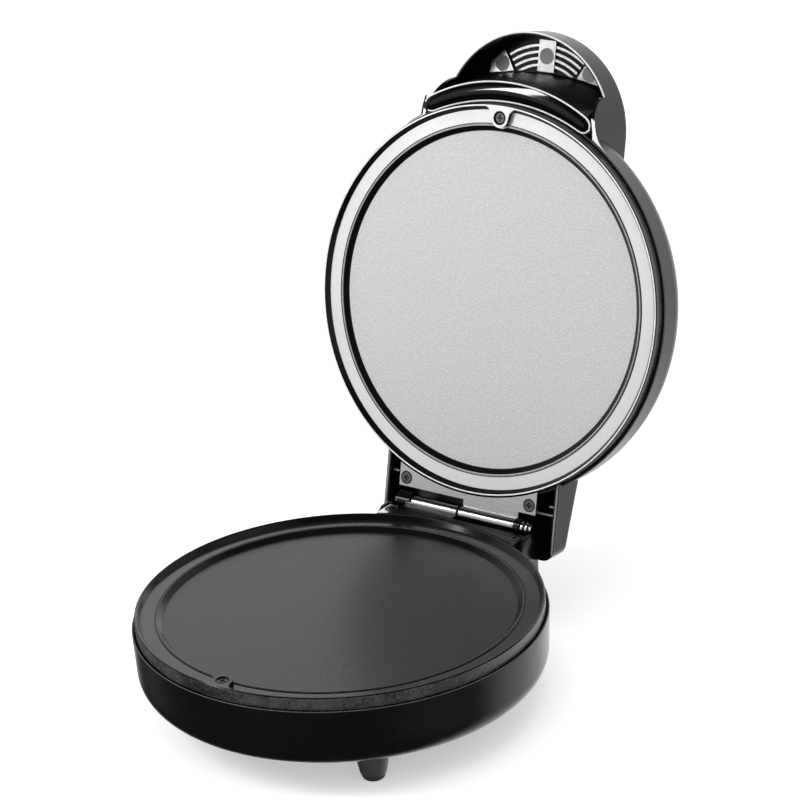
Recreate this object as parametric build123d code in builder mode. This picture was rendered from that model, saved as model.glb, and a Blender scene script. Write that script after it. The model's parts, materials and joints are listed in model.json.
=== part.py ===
"""Electric pizza maker with a hinged lid, modelled open on its stop.

The base and the lid hold mirror-image cast cooking plates, each over a ring
heating element. Every piece is placed by the frame of the body that carries
it: x and y are the plan seen from above when the lid is shut, z is the depth
below the plate's lip, into that body. The origin is on the table in the middle
of the whole cooker's box, with the front at -Y and the hinge at +Y.
"""

import os
from math import cos, radians, sin

from build123d import *

# Driving dimensions, in millimetres and degrees

lip_height = 53.5  # lip of the base plate above the table
plate_centre_y = -54.78  # centre of the base plate in front of the middle of the open cooker
plate_gap = 0.6  # between the two lips when the lid is shut
hinge_reach = 110.8  # hinge axis behind the centre of the plates
open_angle = 103.5  # lid angle on its stop

lip_radius = 99.8
lip_width = 1.5
lip_edge = 0.4
channel_outer_radius = 96.8
channel_depth = 2.7
ridge_radius = 89.6
ridge_width = 0.9
ridge_height = 0.35
disc_radius = 86.1
disc_depth = 4.7
plate_thickness = 3.0
skirt_radius = 97.6
skirt_depth = 10.0
skirt_wall = 2.4

lug_y = -93.2
lug_radius = 4.9
lug_flare = 9.6
lug_boss_radius = 5.4
lug_sink_radius = 3.6
lug_sink_depth = 1.9

casing_radius = 101.5
casing_wall = 1.9
casing_draft = 0.8
base_rim_depth = 6.5
base_casing_depth = 38.0
base_corner = 12.0
lid_rim_depth = 6.0
lid_casing_depth = 34.1
lid_corner = 18.0

tail_half_width = 44.2  # box behind the base that carries the hinge
tail_rear = 110.0
tail_front = 70.0
tail_top_depth = 6.0
tail_corner = 6.0
cheek_width = 2.2  # at each end of the hinge
cheek_profile = ((95.0, 6.5), (95.0, 2.6), (99.5, -0.4), (105.5, -0.4), (108.2, 1.8), (108.2, 6.5))

hood_half_width = 52.2  # cover behind the lid that hides the hinge
hood_wall = 2.2
hood_front = 84.0
hood_rear = 126.5
hood_lean = 1.9  # how far the rear wall leans in on its way to the top
hood_rim_depth = 3.2
hood_front_depth = 25.4  # the top slopes down towards the rear
hood_rear_depth = 17.6
hood_plan_corner = 6.0
hood_top_corner = 4.0
hood_post_depth = 21.0
hood_hole_depth = 15.0

nose_low_radius = 94.0  # front of the lid behind the finger space
nose_low_y = -110.8
nose_high_radius = 126.7
nose_high_y = -114.7
nose_top_depth = 42.4
nose_wall = 2.0
crescent_half_width = 47.0
crescent_tip_radius = 3.4
crescent_tip_y = -94.4
crescent_thickness = 2.0

visor_radius = 50.0  # arched handle over the finger space
visor_y = -86.0
visor_wall = 1.6
visor_rear_y = -60.0
visor_side_y = -76.0
visor_top_depth = 44.4
visor_roof = 1.9
visor_top_edge = 4.0
visor_rim_depth = 25.4
visor_rim_y = -108.0
visor_foot_depth = 8.3
visor_foot_y = -90.0

liner_radius = 47.7
liner_y = -86.3
liner_thickness = 0.8
liner_rear_clearance = 0.6
bar_half_width = 4.9
bar_front_y = -131.4
bar_height = 1.4
pad_corners = ((25.0, -123.9), (18.8, -113.9), (33.2, -111.4), (32.6, -117.5))
rib_centre_y = -90.0
rib_first_radius = 28.8
rib_pitch = 3.3
rib_count = 4
rib_width = 1.2
rib_height = 1.0
rib_half_angle = 34.0
cap_radius = 4.1
cap_height = 1.6
cap_proud = 0.2
cap_centres = ((0.0, -123.3), (26.0, -117.0), (-26.0, -117.0))

leaf_thickness = 1.5
leaf_half_width = 41.6
leaf_front = 90.0
leaf_rear = 103.4
leaf_cutout_radius = 100.4
leaf_screw_x = 37.5
leaf_screw_y = 98.9
knuckle_radius = 4.0
pin_radius = 2.5
pin_clearance = 0.05
pin_left = -41.8
pin_right = 41.0
base_knuckle = (-34.6, -3.2)  # left and right ends, seen from the front
lid_knuckle = (-1.6, 31.5)
collar_left = (-38.6, -34.8)
collar_right = (31.7, 35.4)
collar_radius = 4.6
clip_radius = 3.9
clip_width = 0.9
clip_places = (-40.6, 35.9, 38.5)

screw_radius = 1.5
screw_clearance = 0.15
screw_head_radius = 2.9
screw_head_height = 1.4
screw_length = 14.0
sink_mouth_radius = 3.5
cross_length = 3.4
cross_width = 0.8
cross_depth = 0.8
post_radius = 4.0

ring_radius = 62.0
tube_radius = 3.4
ring_gap_angle = 34.0
tube_bend = 6.0
cold_end = 5.0
pin_end = 6.0
cold_pin_radius = 1.3
clamp_rib_width = 1.5
clamp_rib_height = 4.0
fit_gap = 0.2
seam_gap = 0.1  # between covers that meet along a curve

shield_radius = 87.0
shield_depth = 17.0
shield_thickness = 0.7
shield_rim_height = 4.5
shield_post_radius = 75.0
shield_post_count = 3
shield_post_start = 30.0
shield_hole_radius = 7.0

thermostat_y = -30.0
thermostat_cap_radius = 8.5
thermostat_cap_height = 2.0
thermostat_body_radius = 7.6
thermostat_body_height = 9.0
tab_width = 6.3
tab_thickness = 0.8
tab_height = 7.0
tab_spacing = 7.0

fuse_y = 24.0
fuse_radius = 2.0
fuse_length = 12.0
fuse_lead_radius = 0.5
fuse_lead_length = 9.0
strap_width = 6.0
strap_thickness = 0.6
strap_foot = 5.0

block_size = (34.0, 16.0, 11.0)
block_y = 84.0
block_wells = 3
block_well_pitch = 10.0
block_well_size = (7.0, 9.0)
block_well_depth = 7.0

gland_depth = 25.5
gland_flange_radius = 6.8
gland_flange_thickness = 2.0
gland_neck_radius = 5.0
gland_bore_radius = 3.0
gland_neck_length = 8.0

front_foot_x = 56.5
front_foot_y = -57.4
rear_foot_x = 34.0
rear_foot_y = 92.5
foot_top_radius = 8.7
foot_taper = 11.0
foot_round = 1.4
foot_pad_radius = 5.6
foot_pad_height = 2.6
foot_pad_round = 1.9
foot_peg_radius = 3.0

lamp_x = 9.0
lamp_y = -80.0
lens_radius = 3.4
lens_flange_radius = 4.6
lens_flange_thickness = 1.2
lens_rise = 1.2
lamp_radius = 2.4
lamp_length = 7.0

wire_window_width = 14.0
wire_window_height = 7.0

# Frames of the two bodies

hinge_depth = -plate_gap / 2
hinge_point = Vector(0, plate_centre_y + hinge_reach, lip_height + plate_gap / 2)
base_frame = Plane(origin=(0, plate_centre_y, lip_height), x_dir=(-1, 0, 0), z_dir=(0, 0, -1))
lid_back = Vector(0, cos(radians(open_angle)), -sin(radians(open_angle)))
lid_up = Vector(0, sin(radians(open_angle)), cos(radians(open_angle)))
lid_origin = hinge_point - lid_back * hinge_reach + lid_up * (plate_gap / 2)
lid_frame = Plane(origin=lid_origin, x_dir=(1, 0, 0), z_dir=lid_up)

# Values worked out from the driving dimensions

plate_underside = disc_depth + plate_thickness
ring_depth = plate_underside + tube_radius
leaf_screws = ((leaf_screw_x, leaf_screw_y), (-leaf_screw_x, leaf_screw_y))
visor_ceiling = visor_top_depth - visor_roof
gland_face = Plane(
    origin=base_frame.from_local_coords((0, tail_rear, gland_depth)),
    z_dir=base_frame.y_dir,
)
liner_face = visor_ceiling - liner_thickness
feet = (
    (front_foot_x, front_foot_y),
    (-front_foot_x, front_foot_y),
    (rear_foot_x, rear_foot_y),
    (-rear_foot_x, rear_foot_y),
)


def level(frame, depth):
    """Plane parallel to the lips, depth below the lip of one body."""
    return frame.offset(depth)


def section(frame):
    """Half plane through a body's centre: x is the radius and y the depth."""
    return Plane(origin=frame.origin, x_dir=frame.x_dir, z_dir=-frame.y_dir)


def centre_axis(frame):
    """Axis through the centre of a body's plate."""
    return Axis(frame.origin, frame.z_dir)


def side_plane(frame, x):
    """Plane square to the hinge axis: its x is the body's y, its y the depth."""
    start = frame.from_local_coords((x, 0, 0))
    return Plane(origin=start, x_dir=frame.y_dir, z_dir=frame.x_dir)


def write(piece, name):
    """Label a finished piece and save it under its own name."""
    piece.part.label = name
    export_step(piece.part, f"parts/{name}.step")


# Sections and outlines that pieces share


def drum_section(frame, rim, depth, corner, inset):
    """Half section of a round casing, inset from its outer surface."""
    top_radius = casing_radius - inset
    low_radius = casing_radius - casing_draft - inset
    round_radius = corner - inset
    floor = depth - inset
    knee = low_radius - round_radius * (1 - cos(radians(45)))
    knee_depth = floor - round_radius * (1 - cos(radians(45)))
    with BuildSketch(section(frame)) as profile:
        with BuildLine():
            Polyline((0, floor), (0, rim), (top_radius, rim), (low_radius, floor - round_radius))
            ThreePointArc(
                (low_radius, floor - round_radius),
                (knee, knee_depth),
                (low_radius - round_radius, floor),
            )
            Line((low_radius - round_radius, floor), (0, floor))
        make_face()
    return profile.sketch


def visor_outline(depth, radius, centre_y, side_y, rear_y):
    """Plan of the handle cover: an arch in front and a shallow curve behind."""
    with BuildSketch(level(lid_frame, depth)) as plan:
        with BuildLine():
            ThreePointArc((-radius, centre_y), (0, centre_y - radius), (radius, centre_y))
            Line((radius, centre_y), (radius, side_y))
            ThreePointArc((radius, side_y), (0, rear_y), (-radius, side_y))
            Line((-radius, side_y), (-radius, centre_y))
        make_face()
    return plan.sketch


def nose(inset, floor):
    """Front of the lid behind the finger space, leaning out towards the handle."""
    low_radius = nose_low_radius - inset
    high_radius = nose_high_radius - inset
    with BuildPart() as body:
        with BuildSketch(level(lid_frame, floor)):
            with Locations((0, nose_low_y + nose_low_radius)):
                Circle(low_radius)
        with BuildSketch(level(lid_frame, nose_top_depth)):
            with Locations((0, nose_high_y + nose_high_radius)):
                Circle(high_radius)
        loft(ruled=True)
        with BuildSketch(level(lid_frame, floor)):
            with Locations((0, liner_y)):
                Circle(liner_radius - fit_gap - inset)
            with Locations((0, liner_y + liner_radius / 2 + fit_gap)):
                Rectangle(2 * liner_radius, liner_radius, mode=Mode.SUBTRACT)
        extrude(amount=nose_top_depth - floor, mode=Mode.INTERSECT)
    return body.part


def hood(inset):
    """Cover behind the lid: its top slopes down to a rounded rear wall."""
    front = hood_front
    low = hood_rim_depth
    half = hood_half_width - inset
    rear = hood_rear - inset
    slope = (hood_rear_depth - hood_front_depth) / (hood_rear - hood_lean - hood_front)
    top_front = hood_front_depth - inset
    top_rear = top_front + slope * (rear - hood_lean - front)
    with BuildPart() as cover:
        with BuildSketch(side_plane(lid_frame, 0)):
            with BuildLine():
                Polyline(
                    (front, low),
                    (front, top_front),
                    (rear - hood_lean, top_rear),
                    (rear, low),
                    close=True,
                )
            make_face()
        extrude(amount=half, both=True)
        backwards = Axis(lid_frame.origin, lid_frame.y_dir)
        rear_face = cover.faces().sort_by(backwards)[-1]
        upright = rear_face.edges().group_by(Axis.X)
        fillet(upright[0] + upright[-1], hood_plan_corner - inset)
        top_face = cover.faces().sort_by(centre_axis(lid_frame))[-1]
        fillet(top_face.edges().sort_by(backwards)[1:], hood_top_corner - inset)
    return cover.part


# Pieces that both bodies hold


def cooking_plate(frame):
    """Cast plate with a lip, a channel, a fine ridge, a flat disc and a skirt."""
    under = plate_underside
    channel_floor = channel_depth + plate_thickness
    inner_skirt = skirt_radius - skirt_wall
    neck_x = lug_radius + 0.6
    neck_y = lug_y - 2.4
    root_y = lug_y - 5.3
    with BuildPart() as plate:
        with BuildSketch(section(frame)):
            with BuildLine():
                Polyline(
                    (0, disc_depth),
                    (disc_radius, disc_depth),
                    (ridge_radius - ridge_width, channel_depth),
                )
                ThreePointArc(
                    (ridge_radius - ridge_width, channel_depth),
                    (ridge_radius - ridge_width / 2, channel_depth - ridge_height),
                    (ridge_radius, channel_depth),
                )
                Polyline(
                    (ridge_radius, channel_depth),
                    (channel_outer_radius, channel_depth),
                    (lip_radius - lip_width, lip_edge),
                    (lip_radius - lip_width + lip_edge, 0),
                    (lip_radius - lip_edge, 0),
                    (lip_radius, lip_edge),
                    (skirt_radius, base_rim_depth),
                    (skirt_radius, skirt_depth),
                    (inner_skirt, skirt_depth),
                    (inner_skirt, channel_floor),
                    (disc_radius, under),
                    (0, under),
                    (0, disc_depth),
                )
            make_face()
        revolve(axis=centre_axis(frame))
        with BuildSketch(level(frame, 0)):
            with BuildLine():
                ThreePointArc(
                    (-lug_radius, lug_y),
                    (0, lug_y + lug_radius),
                    (lug_radius, lug_y),
                )
                Line((lug_radius, lug_y), (neck_x, neck_y))
                ThreePointArc((neck_x, neck_y), (neck_x + 1.4, neck_y - 1.8), (lug_flare, root_y))
                Polyline(
                    (lug_flare, root_y),
                    (lug_flare, root_y - lip_edge),
                    (-lug_flare, root_y - lip_edge),
                    (-lug_flare, root_y),
                )
                ThreePointArc((-lug_flare, root_y), (-neck_x - 1.4, neck_y - 1.8), (-neck_x, neck_y))
                Line((-neck_x, neck_y), (-lug_radius, lug_y))
            make_face()
            Circle(lip_radius - lip_width + lip_edge + seam_gap, mode=Mode.INTERSECT)
        extrude(amount=channel_depth + fit_gap)
        with BuildSketch(level(frame, channel_depth)):
            with Locations((0, lug_y)):
                Circle(lug_boss_radius)
            Circle(skirt_radius - fit_gap, mode=Mode.INTERSECT)
        extrude(amount=skirt_depth - channel_depth)
        with BuildSketch(level(frame, 0)):
            with Locations((0, lug_y)):
                Circle(lug_sink_radius)
        extrude(amount=lug_sink_depth, mode=Mode.SUBTRACT)
        with BuildSketch(level(frame, 0)):
            with Locations((0, lug_y)):
                Circle(screw_radius + screw_clearance)
        extrude(amount=skirt_depth, mode=Mode.SUBTRACT)
        inner_rib = ring_radius - tube_radius - fit_gap
        outer_rib = ring_radius + tube_radius + fit_gap
        with BuildSketch(level(frame, under)):
            Circle(inner_rib)
            Circle(inner_rib - clamp_rib_width, mode=Mode.SUBTRACT)
            Circle(outer_rib + clamp_rib_width)
            Circle(outer_rib, mode=Mode.SUBTRACT)
            Circle(inner_rib)
            Circle(inner_rib - clamp_rib_width, mode=Mode.SUBTRACT)
        extrude(amount=clamp_rib_height)
    return plate


def heating_element(frame):
    """Sheathed ring whose two ends turn down through the heat shield."""
    first = 90 + ring_gap_angle / 2
    last = 90 - ring_gap_angle / 2 + 360
    middle = (first + last) / 2
    ring_level = level(frame, ring_depth)

    def ring_point(angle):
        return ring_level.from_local_coords(
            (ring_radius * cos(radians(angle)), ring_radius * sin(radians(angle)), 0)
        )

    def end_bend(angle, turn):
        """End of the quarter bend that leaves the ring at one angle."""
        along = Vector(-sin(radians(angle)), cos(radians(angle)), 0) * turn
        x = ring_radius * cos(radians(angle)) + along.X * tube_bend
        y = ring_radius * sin(radians(angle)) + along.Y * tube_bend
        return ring_level.from_local_coords((x, y, tube_bend))

    down = frame.z_dir
    first_bend = end_bend(first, -1)
    last_bend = end_bend(last, 1)
    with BuildPart() as element:
        with BuildLine() as path:
            Line(first_bend + down * cold_end, first_bend)
            TangentArc(first_bend, ring_point(first), tangent=-down)
            ThreePointArc(ring_point(first), ring_point(middle), ring_point(last))
            TangentArc(last_bend, ring_point(last), tangent=-down)
            Line(last_bend, last_bend + down * cold_end)
        with BuildSketch(Plane(origin=first_bend + down * cold_end, z_dir=-down)):
            Circle(tube_radius)
        sweep(path=path.wires()[0])
        for tip in (first_bend, last_bend):
            with BuildSketch(Plane(origin=tip + down * cold_end, z_dir=down)):
                Circle(cold_pin_radius)
            extrude(amount=pin_end)
    return element


def heat_shield(frame):
    """Thin pan under the element, open where leads and sensors pass."""
    last_angle = 90 - ring_gap_angle / 2
    opening_x = ring_radius * cos(radians(last_angle)) - tube_bend * sin(radians(last_angle))
    opening_y = ring_radius * sin(radians(last_angle)) + tube_bend * cos(radians(last_angle))
    with BuildPart() as shield:
        with BuildSketch(level(frame, shield_depth)):
            Circle(shield_radius)
        extrude(amount=shield_thickness)
        with BuildSketch(level(frame, shield_depth)):
            Circle(shield_radius)
            Circle(shield_radius - shield_thickness, mode=Mode.SUBTRACT)
        extrude(amount=-shield_rim_height)
        with BuildSketch(level(frame, shield_depth)):
            with Locations((opening_x, opening_y), (-opening_x, opening_y)):
                Circle(shield_hole_radius)
            with Locations((0, thermostat_y)):
                Circle(thermostat_cap_radius + 2)
            with PolarLocations(shield_post_radius, shield_post_count, shield_post_start):
                Circle(screw_radius + screw_clearance)
        extrude(amount=shield_thickness, mode=Mode.SUBTRACT)
    return shield


def thermostat(frame):
    """Disc thermostat pressed against the underside of the plate."""
    with BuildPart() as switch:
        with BuildSketch(level(frame, plate_underside)):
            with Locations((0, thermostat_y)):
                Circle(thermostat_cap_radius)
        extrude(amount=thermostat_cap_height)
        with BuildSketch(level(frame, plate_underside + thermostat_cap_height)):
            with Locations((0, thermostat_y)):
                Circle(thermostat_body_radius)
        extrude(amount=thermostat_body_height)
        tab_level = plate_underside + thermostat_cap_height + thermostat_body_height
        with BuildSketch(level(frame, tab_level)):
            with Locations((0, thermostat_y)):
                with GridLocations(tab_spacing, 1, 2, 1):
                    Rectangle(tab_thickness, tab_width)
        extrude(amount=tab_height)
    return switch


def pan_screws(frame, places, seat, length):
    """Cross-head screws whose heads stand on a seat, one for each place."""
    crown = seat - screw_head_height
    with BuildPart() as screws:
        with BuildSketch(level(frame, seat)):
            with Locations(*places):
                Circle(screw_head_radius)
        extrude(amount=-screw_head_height)
        outer_edges = screws.edges().filter_by(GeomType.CIRCLE)
        fillet(outer_edges.group_by(centre_axis(frame))[0], 0.5)
        with BuildSketch(level(frame, crown)):
            with Locations(*places):
                Rectangle(cross_length, cross_width)
                Rectangle(cross_width, cross_length)
        extrude(amount=cross_depth, mode=Mode.SUBTRACT)
        with BuildSketch(level(frame, seat)):
            with Locations(*places):
                Circle(screw_radius)
        extrude(amount=length)
    return screws


def sunk_screws(frame, places, length):
    """Countersunk cross-head screws flush with a leaf of the hinge."""
    with BuildPart() as screws:
        with BuildSketch(level(frame, 0)):
            with Locations(*places):
                Circle(screw_head_radius)
        extrude(amount=screw_head_height, taper=45)
        with BuildSketch(level(frame, 0)):
            with Locations(*places):
                Circle(screw_radius)
        extrude(amount=length)
        with BuildSketch(level(frame, 0)):
            with Locations(*places):
                Rectangle(cross_length, cross_width)
                Rectangle(cross_width, cross_length)
        extrude(amount=cross_depth, mode=Mode.SUBTRACT)
    return screws


def hinge_leaf(frame, knuckle_from, knuckle_to):
    """Pressed leaf with one knuckle rolled round the pin."""
    knuckle_length = knuckle_to - knuckle_from
    knuckle_start = frame.from_local_coords((knuckle_from, hinge_reach, hinge_depth))
    knuckle_plane = Plane(origin=knuckle_start, x_dir=frame.y_dir, z_dir=frame.x_dir)
    with BuildPart() as leaf:
        with BuildSketch(level(frame, 0)):
            with Locations((0, (leaf_front + leaf_rear) / 2)):
                Rectangle(2 * leaf_half_width, leaf_rear - leaf_front)
            with Locations(((knuckle_from + knuckle_to) / 2, (leaf_rear + hinge_reach) / 2)):
                Rectangle(knuckle_length, hinge_reach - leaf_rear)
            Circle(leaf_cutout_radius, mode=Mode.SUBTRACT)
        extrude(amount=leaf_thickness)
        with BuildSketch(knuckle_plane):
            Circle(knuckle_radius)
        extrude(amount=knuckle_length)
        with BuildSketch(knuckle_plane):
            Circle(pin_radius + pin_clearance)
        extrude(amount=knuckle_length, mode=Mode.SUBTRACT)
        with BuildSketch(level(frame, 0)):
            with Locations(*leaf_screws):
                Circle(sink_mouth_radius)
        extrude(amount=leaf_thickness, taper=45, mode=Mode.SUBTRACT)
    return leaf


def rings_on_pin(spans, outer_radius):
    """Separate rings round the hinge pin, one for each span along X."""
    with BuildPart() as rings:
        for start, end in spans:
            place = Plane(origin=hinge_point + Vector(start, 0, 0), z_dir=(1, 0, 0))
            with BuildSketch(place):
                Circle(outer_radius)
                Circle(pin_radius + pin_clearance, mode=Mode.SUBTRACT)
            extrude(amount=end - start)
    return rings


def shield_places():
    """Plan positions of the screws that hold a heat shield."""
    step = 360 / shield_post_count
    angles = [shield_post_start + step * turn for turn in range(shield_post_count)]
    return [
        (shield_post_radius * cos(radians(angle)), shield_post_radius * sin(radians(angle)))
        for angle in angles
    ]


os.makedirs("parts", exist_ok=True)

# Base casing: a round tub with a box behind it that carries the hinge

with BuildPart() as base_casing:
    revolve(
        drum_section(base_frame, base_rim_depth, base_casing_depth, base_corner, 0),
        axis=centre_axis(base_frame),
    )
    with BuildSketch(level(base_frame, tail_top_depth)):
        with Locations((0, (tail_front + tail_rear) / 2)):
            Rectangle(2 * tail_half_width, tail_rear - tail_front)
    extrude(amount=base_casing_depth - tail_top_depth)
    tail_edges = base_casing.edges().filter_by(Axis.X).group_by(Axis.Y)[-1]
    fillet(tail_edges.group_by(Axis.Z)[0], tail_corner)
    revolve(
        drum_section(base_frame, base_rim_depth, base_casing_depth, base_corner, casing_wall),
        axis=centre_axis(base_frame),
        mode=Mode.SUBTRACT,
    )
    with BuildSketch(level(base_frame, tail_top_depth + casing_wall)):
        with Locations((0, (tail_front + tail_rear) / 2)):
            Rectangle(2 * (tail_half_width - casing_wall), tail_rear - tail_front - 2 * casing_wall)
    extrude(amount=base_casing_depth - tail_top_depth - 2 * casing_wall, mode=Mode.SUBTRACT)
    with BuildSketch(level(base_frame, 0)):
        Circle(casing_radius - casing_wall)
    extrude(amount=base_rim_depth + casing_wall, mode=Mode.SUBTRACT)
    inner_floor = base_casing_depth - casing_wall
    with BuildSketch(level(base_frame, inner_floor)):
        with Locations((0, lug_y)):
            Circle(post_radius)
    extrude(amount=-(inner_floor - skirt_depth))
    with BuildSketch(level(base_frame, inner_floor)):
        with PolarLocations(shield_post_radius, shield_post_count, shield_post_start):
            Circle(post_radius)
    extrude(amount=-(inner_floor - shield_depth - shield_thickness))
    with BuildSketch(level(base_frame, inner_floor)):
        with Locations(*leaf_screws):
            Circle(post_radius)
    extrude(amount=-(inner_floor - leaf_thickness))
    with BuildSketch(level(base_frame, leaf_thickness)):
        with Locations((0, leaf_rear - casing_wall / 2)):
            Rectangle(2 * leaf_half_width, casing_wall)
    extrude(amount=tail_top_depth)
    with BuildSketch(level(base_frame, leaf_thickness)):
        with Locations((0, lug_y), *leaf_screws, *shield_places()):
            Circle(screw_radius + screw_clearance)
    extrude(amount=inner_floor - leaf_thickness - 2, mode=Mode.SUBTRACT)
    with BuildSketch(level(base_frame, inner_floor)):
        with Locations(*feet):
            Circle(foot_peg_radius + fit_gap)
    extrude(amount=casing_wall, mode=Mode.SUBTRACT)
    with BuildSketch(gland_face):
        Circle(gland_neck_radius + seam_gap)
    extrude(amount=-2 * casing_wall, mode=Mode.SUBTRACT)
    for cheek_x in (tail_half_width, cheek_width - tail_half_width):
        with BuildSketch(side_plane(base_frame, cheek_x)):
            with BuildLine():
                Polyline(*cheek_profile, close=True)
            make_face()
        extrude(amount=-cheek_width)
write(base_casing, "base_casing")

# Feet and their rubber pads

with BuildPart() as base_feet:
    with BuildSketch(level(base_frame, base_casing_depth)):
        with Locations(*feet):
            Circle(foot_top_radius)
    extrude(amount=lip_height - base_casing_depth - foot_pad_height, taper=foot_taper)
    fillet(base_feet.edges().group_by(Axis.Z)[0], foot_round)
    with BuildSketch(level(base_frame, base_casing_depth)):
        with Locations(*feet):
            Circle(foot_peg_radius)
    extrude(amount=-casing_wall)
write(base_feet, "base_feet")

with BuildPart() as foot_pads:
    with BuildSketch(level(base_frame, lip_height - foot_pad_height)):
        with Locations(*feet):
            Circle(foot_pad_radius)
    extrude(amount=foot_pad_height)
    fillet(foot_pads.edges().group_by(Axis.Z)[0], foot_pad_round)
write(foot_pads, "foot_pads")

# Base cooking plate and what sits under it

base_plate = cooking_plate(base_frame)
write(base_plate, "base_plate")

base_heating_element = heating_element(base_frame)
write(base_heating_element, "base_heating_element")

base_heat_shield = heat_shield(base_frame)
write(base_heat_shield, "base_heat_shield")

base_thermostat = thermostat(base_frame)
write(base_thermostat, "base_thermostat")

base_plate_screw = pan_screws(base_frame, [(0, lug_y)], lug_sink_depth, screw_length)
write(base_plate_screw, "base_plate_screw")

base_shield_screws = pan_screws(base_frame, shield_places(), shield_depth, screw_length / 2)
write(base_shield_screws, "base_shield_screws")

# Thermal fuse lying against the plate under its strap

fuse_centre = base_frame.from_local_coords((0, fuse_y, plate_underside + fuse_radius))
with BuildPart() as thermal_fuse:
    with BuildSketch(Plane(origin=fuse_centre, z_dir=(1, 0, 0))):
        Circle(fuse_radius)
    extrude(amount=fuse_length / 2, both=True)
    with BuildSketch(Plane(origin=fuse_centre, z_dir=(1, 0, 0))):
        Circle(fuse_lead_radius)
    extrude(amount=fuse_length / 2 + fuse_lead_length, both=True)
write(thermal_fuse, "thermal_fuse")

strap_inside = fuse_radius + seam_gap
strap_outside = strap_inside + strap_thickness
with BuildPart() as fuse_strap:
    with BuildSketch(side_plane(base_frame, 0)):
        with BuildLine():
            Polyline(
                (fuse_y - strap_outside - strap_foot, plate_underside),
                (fuse_y - strap_inside, plate_underside),
                (fuse_y - strap_inside, plate_underside + 2 * strap_inside),
                (fuse_y + strap_inside, plate_underside + 2 * strap_inside),
                (fuse_y + strap_inside, plate_underside),
                (fuse_y + strap_outside + strap_foot, plate_underside),
                (fuse_y + strap_outside + strap_foot, plate_underside + strap_thickness),
                (fuse_y + strap_outside, plate_underside + strap_thickness),
                (fuse_y + strap_outside, plate_underside + 2 * strap_inside + strap_thickness),
                (fuse_y - strap_outside, plate_underside + 2 * strap_inside + strap_thickness),
                (fuse_y - strap_outside, plate_underside + strap_thickness),
                (fuse_y - strap_outside - strap_foot, plate_underside + strap_thickness),
                close=True,
            )
        make_face()
    extrude(amount=strap_width / 2, both=True)
write(fuse_strap, "fuse_strap")

# Terminal block on the floor of the base

with BuildPart() as terminal_block:
    with BuildSketch(level(base_frame, inner_floor)):
        with Locations((0, block_y)):
            Rectangle(block_size[0], block_size[1])
    extrude(amount=-block_size[2])
    with BuildSketch(level(base_frame, inner_floor - block_size[2])):
        with Locations((0, block_y)):
            with GridLocations(block_well_pitch, 1, block_wells, 1):
                Rectangle(*block_well_size)
    extrude(amount=block_well_depth, mode=Mode.SUBTRACT)
write(terminal_block, "terminal_block")

# Gland where the mains lead enters the rear of the base

with BuildPart() as cord_gland:
    with BuildSketch(gland_face):
        Circle(gland_flange_radius)
    extrude(amount=gland_flange_thickness)
    fillet(cord_gland.edges().group_by(Axis.Y)[-1], 0.6)
    with BuildSketch(gland_face):
        Circle(gland_neck_radius)
    extrude(amount=-gland_neck_length)
    with BuildSketch(gland_face.offset(gland_flange_thickness)):
        Circle(gland_bore_radius)
    extrude(amount=-gland_neck_length - gland_flange_thickness, mode=Mode.SUBTRACT)
write(cord_gland, "cord_gland")

# Hinge: two leaves with one knuckle each on a fixed pin

lower_hinge_leaf = hinge_leaf(base_frame, -base_knuckle[1], -base_knuckle[0])
write(lower_hinge_leaf, "lower_hinge_leaf")

upper_hinge_leaf = hinge_leaf(lid_frame, lid_knuckle[0], lid_knuckle[1])
write(upper_hinge_leaf, "upper_hinge_leaf")

lower_leaf_screws = sunk_screws(base_frame, leaf_screws, screw_length)
write(lower_leaf_screws, "lower_leaf_screws")

upper_leaf_screws = sunk_screws(lid_frame, leaf_screws, screw_length)
write(upper_leaf_screws, "upper_leaf_screws")

with BuildPart() as hinge_pin:
    with BuildSketch(Plane(origin=hinge_point + Vector(pin_left, 0, 0), z_dir=(1, 0, 0))):
        Circle(pin_radius)
    extrude(amount=pin_right - pin_left)
    chamfer(hinge_pin.edges().filter_by(GeomType.CIRCLE), 0.4)
write(hinge_pin, "hinge_pin")

hinge_collars = rings_on_pin([collar_left, collar_right], collar_radius)
write(hinge_collars, "hinge_collars")

clip_spans = [(place, place + clip_width) for place in clip_places]
hinge_clips = rings_on_pin(clip_spans, clip_radius)
write(hinge_clips, "hinge_clips")

# Lid casing: a round cover with a hood behind and a nose in front

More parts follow.
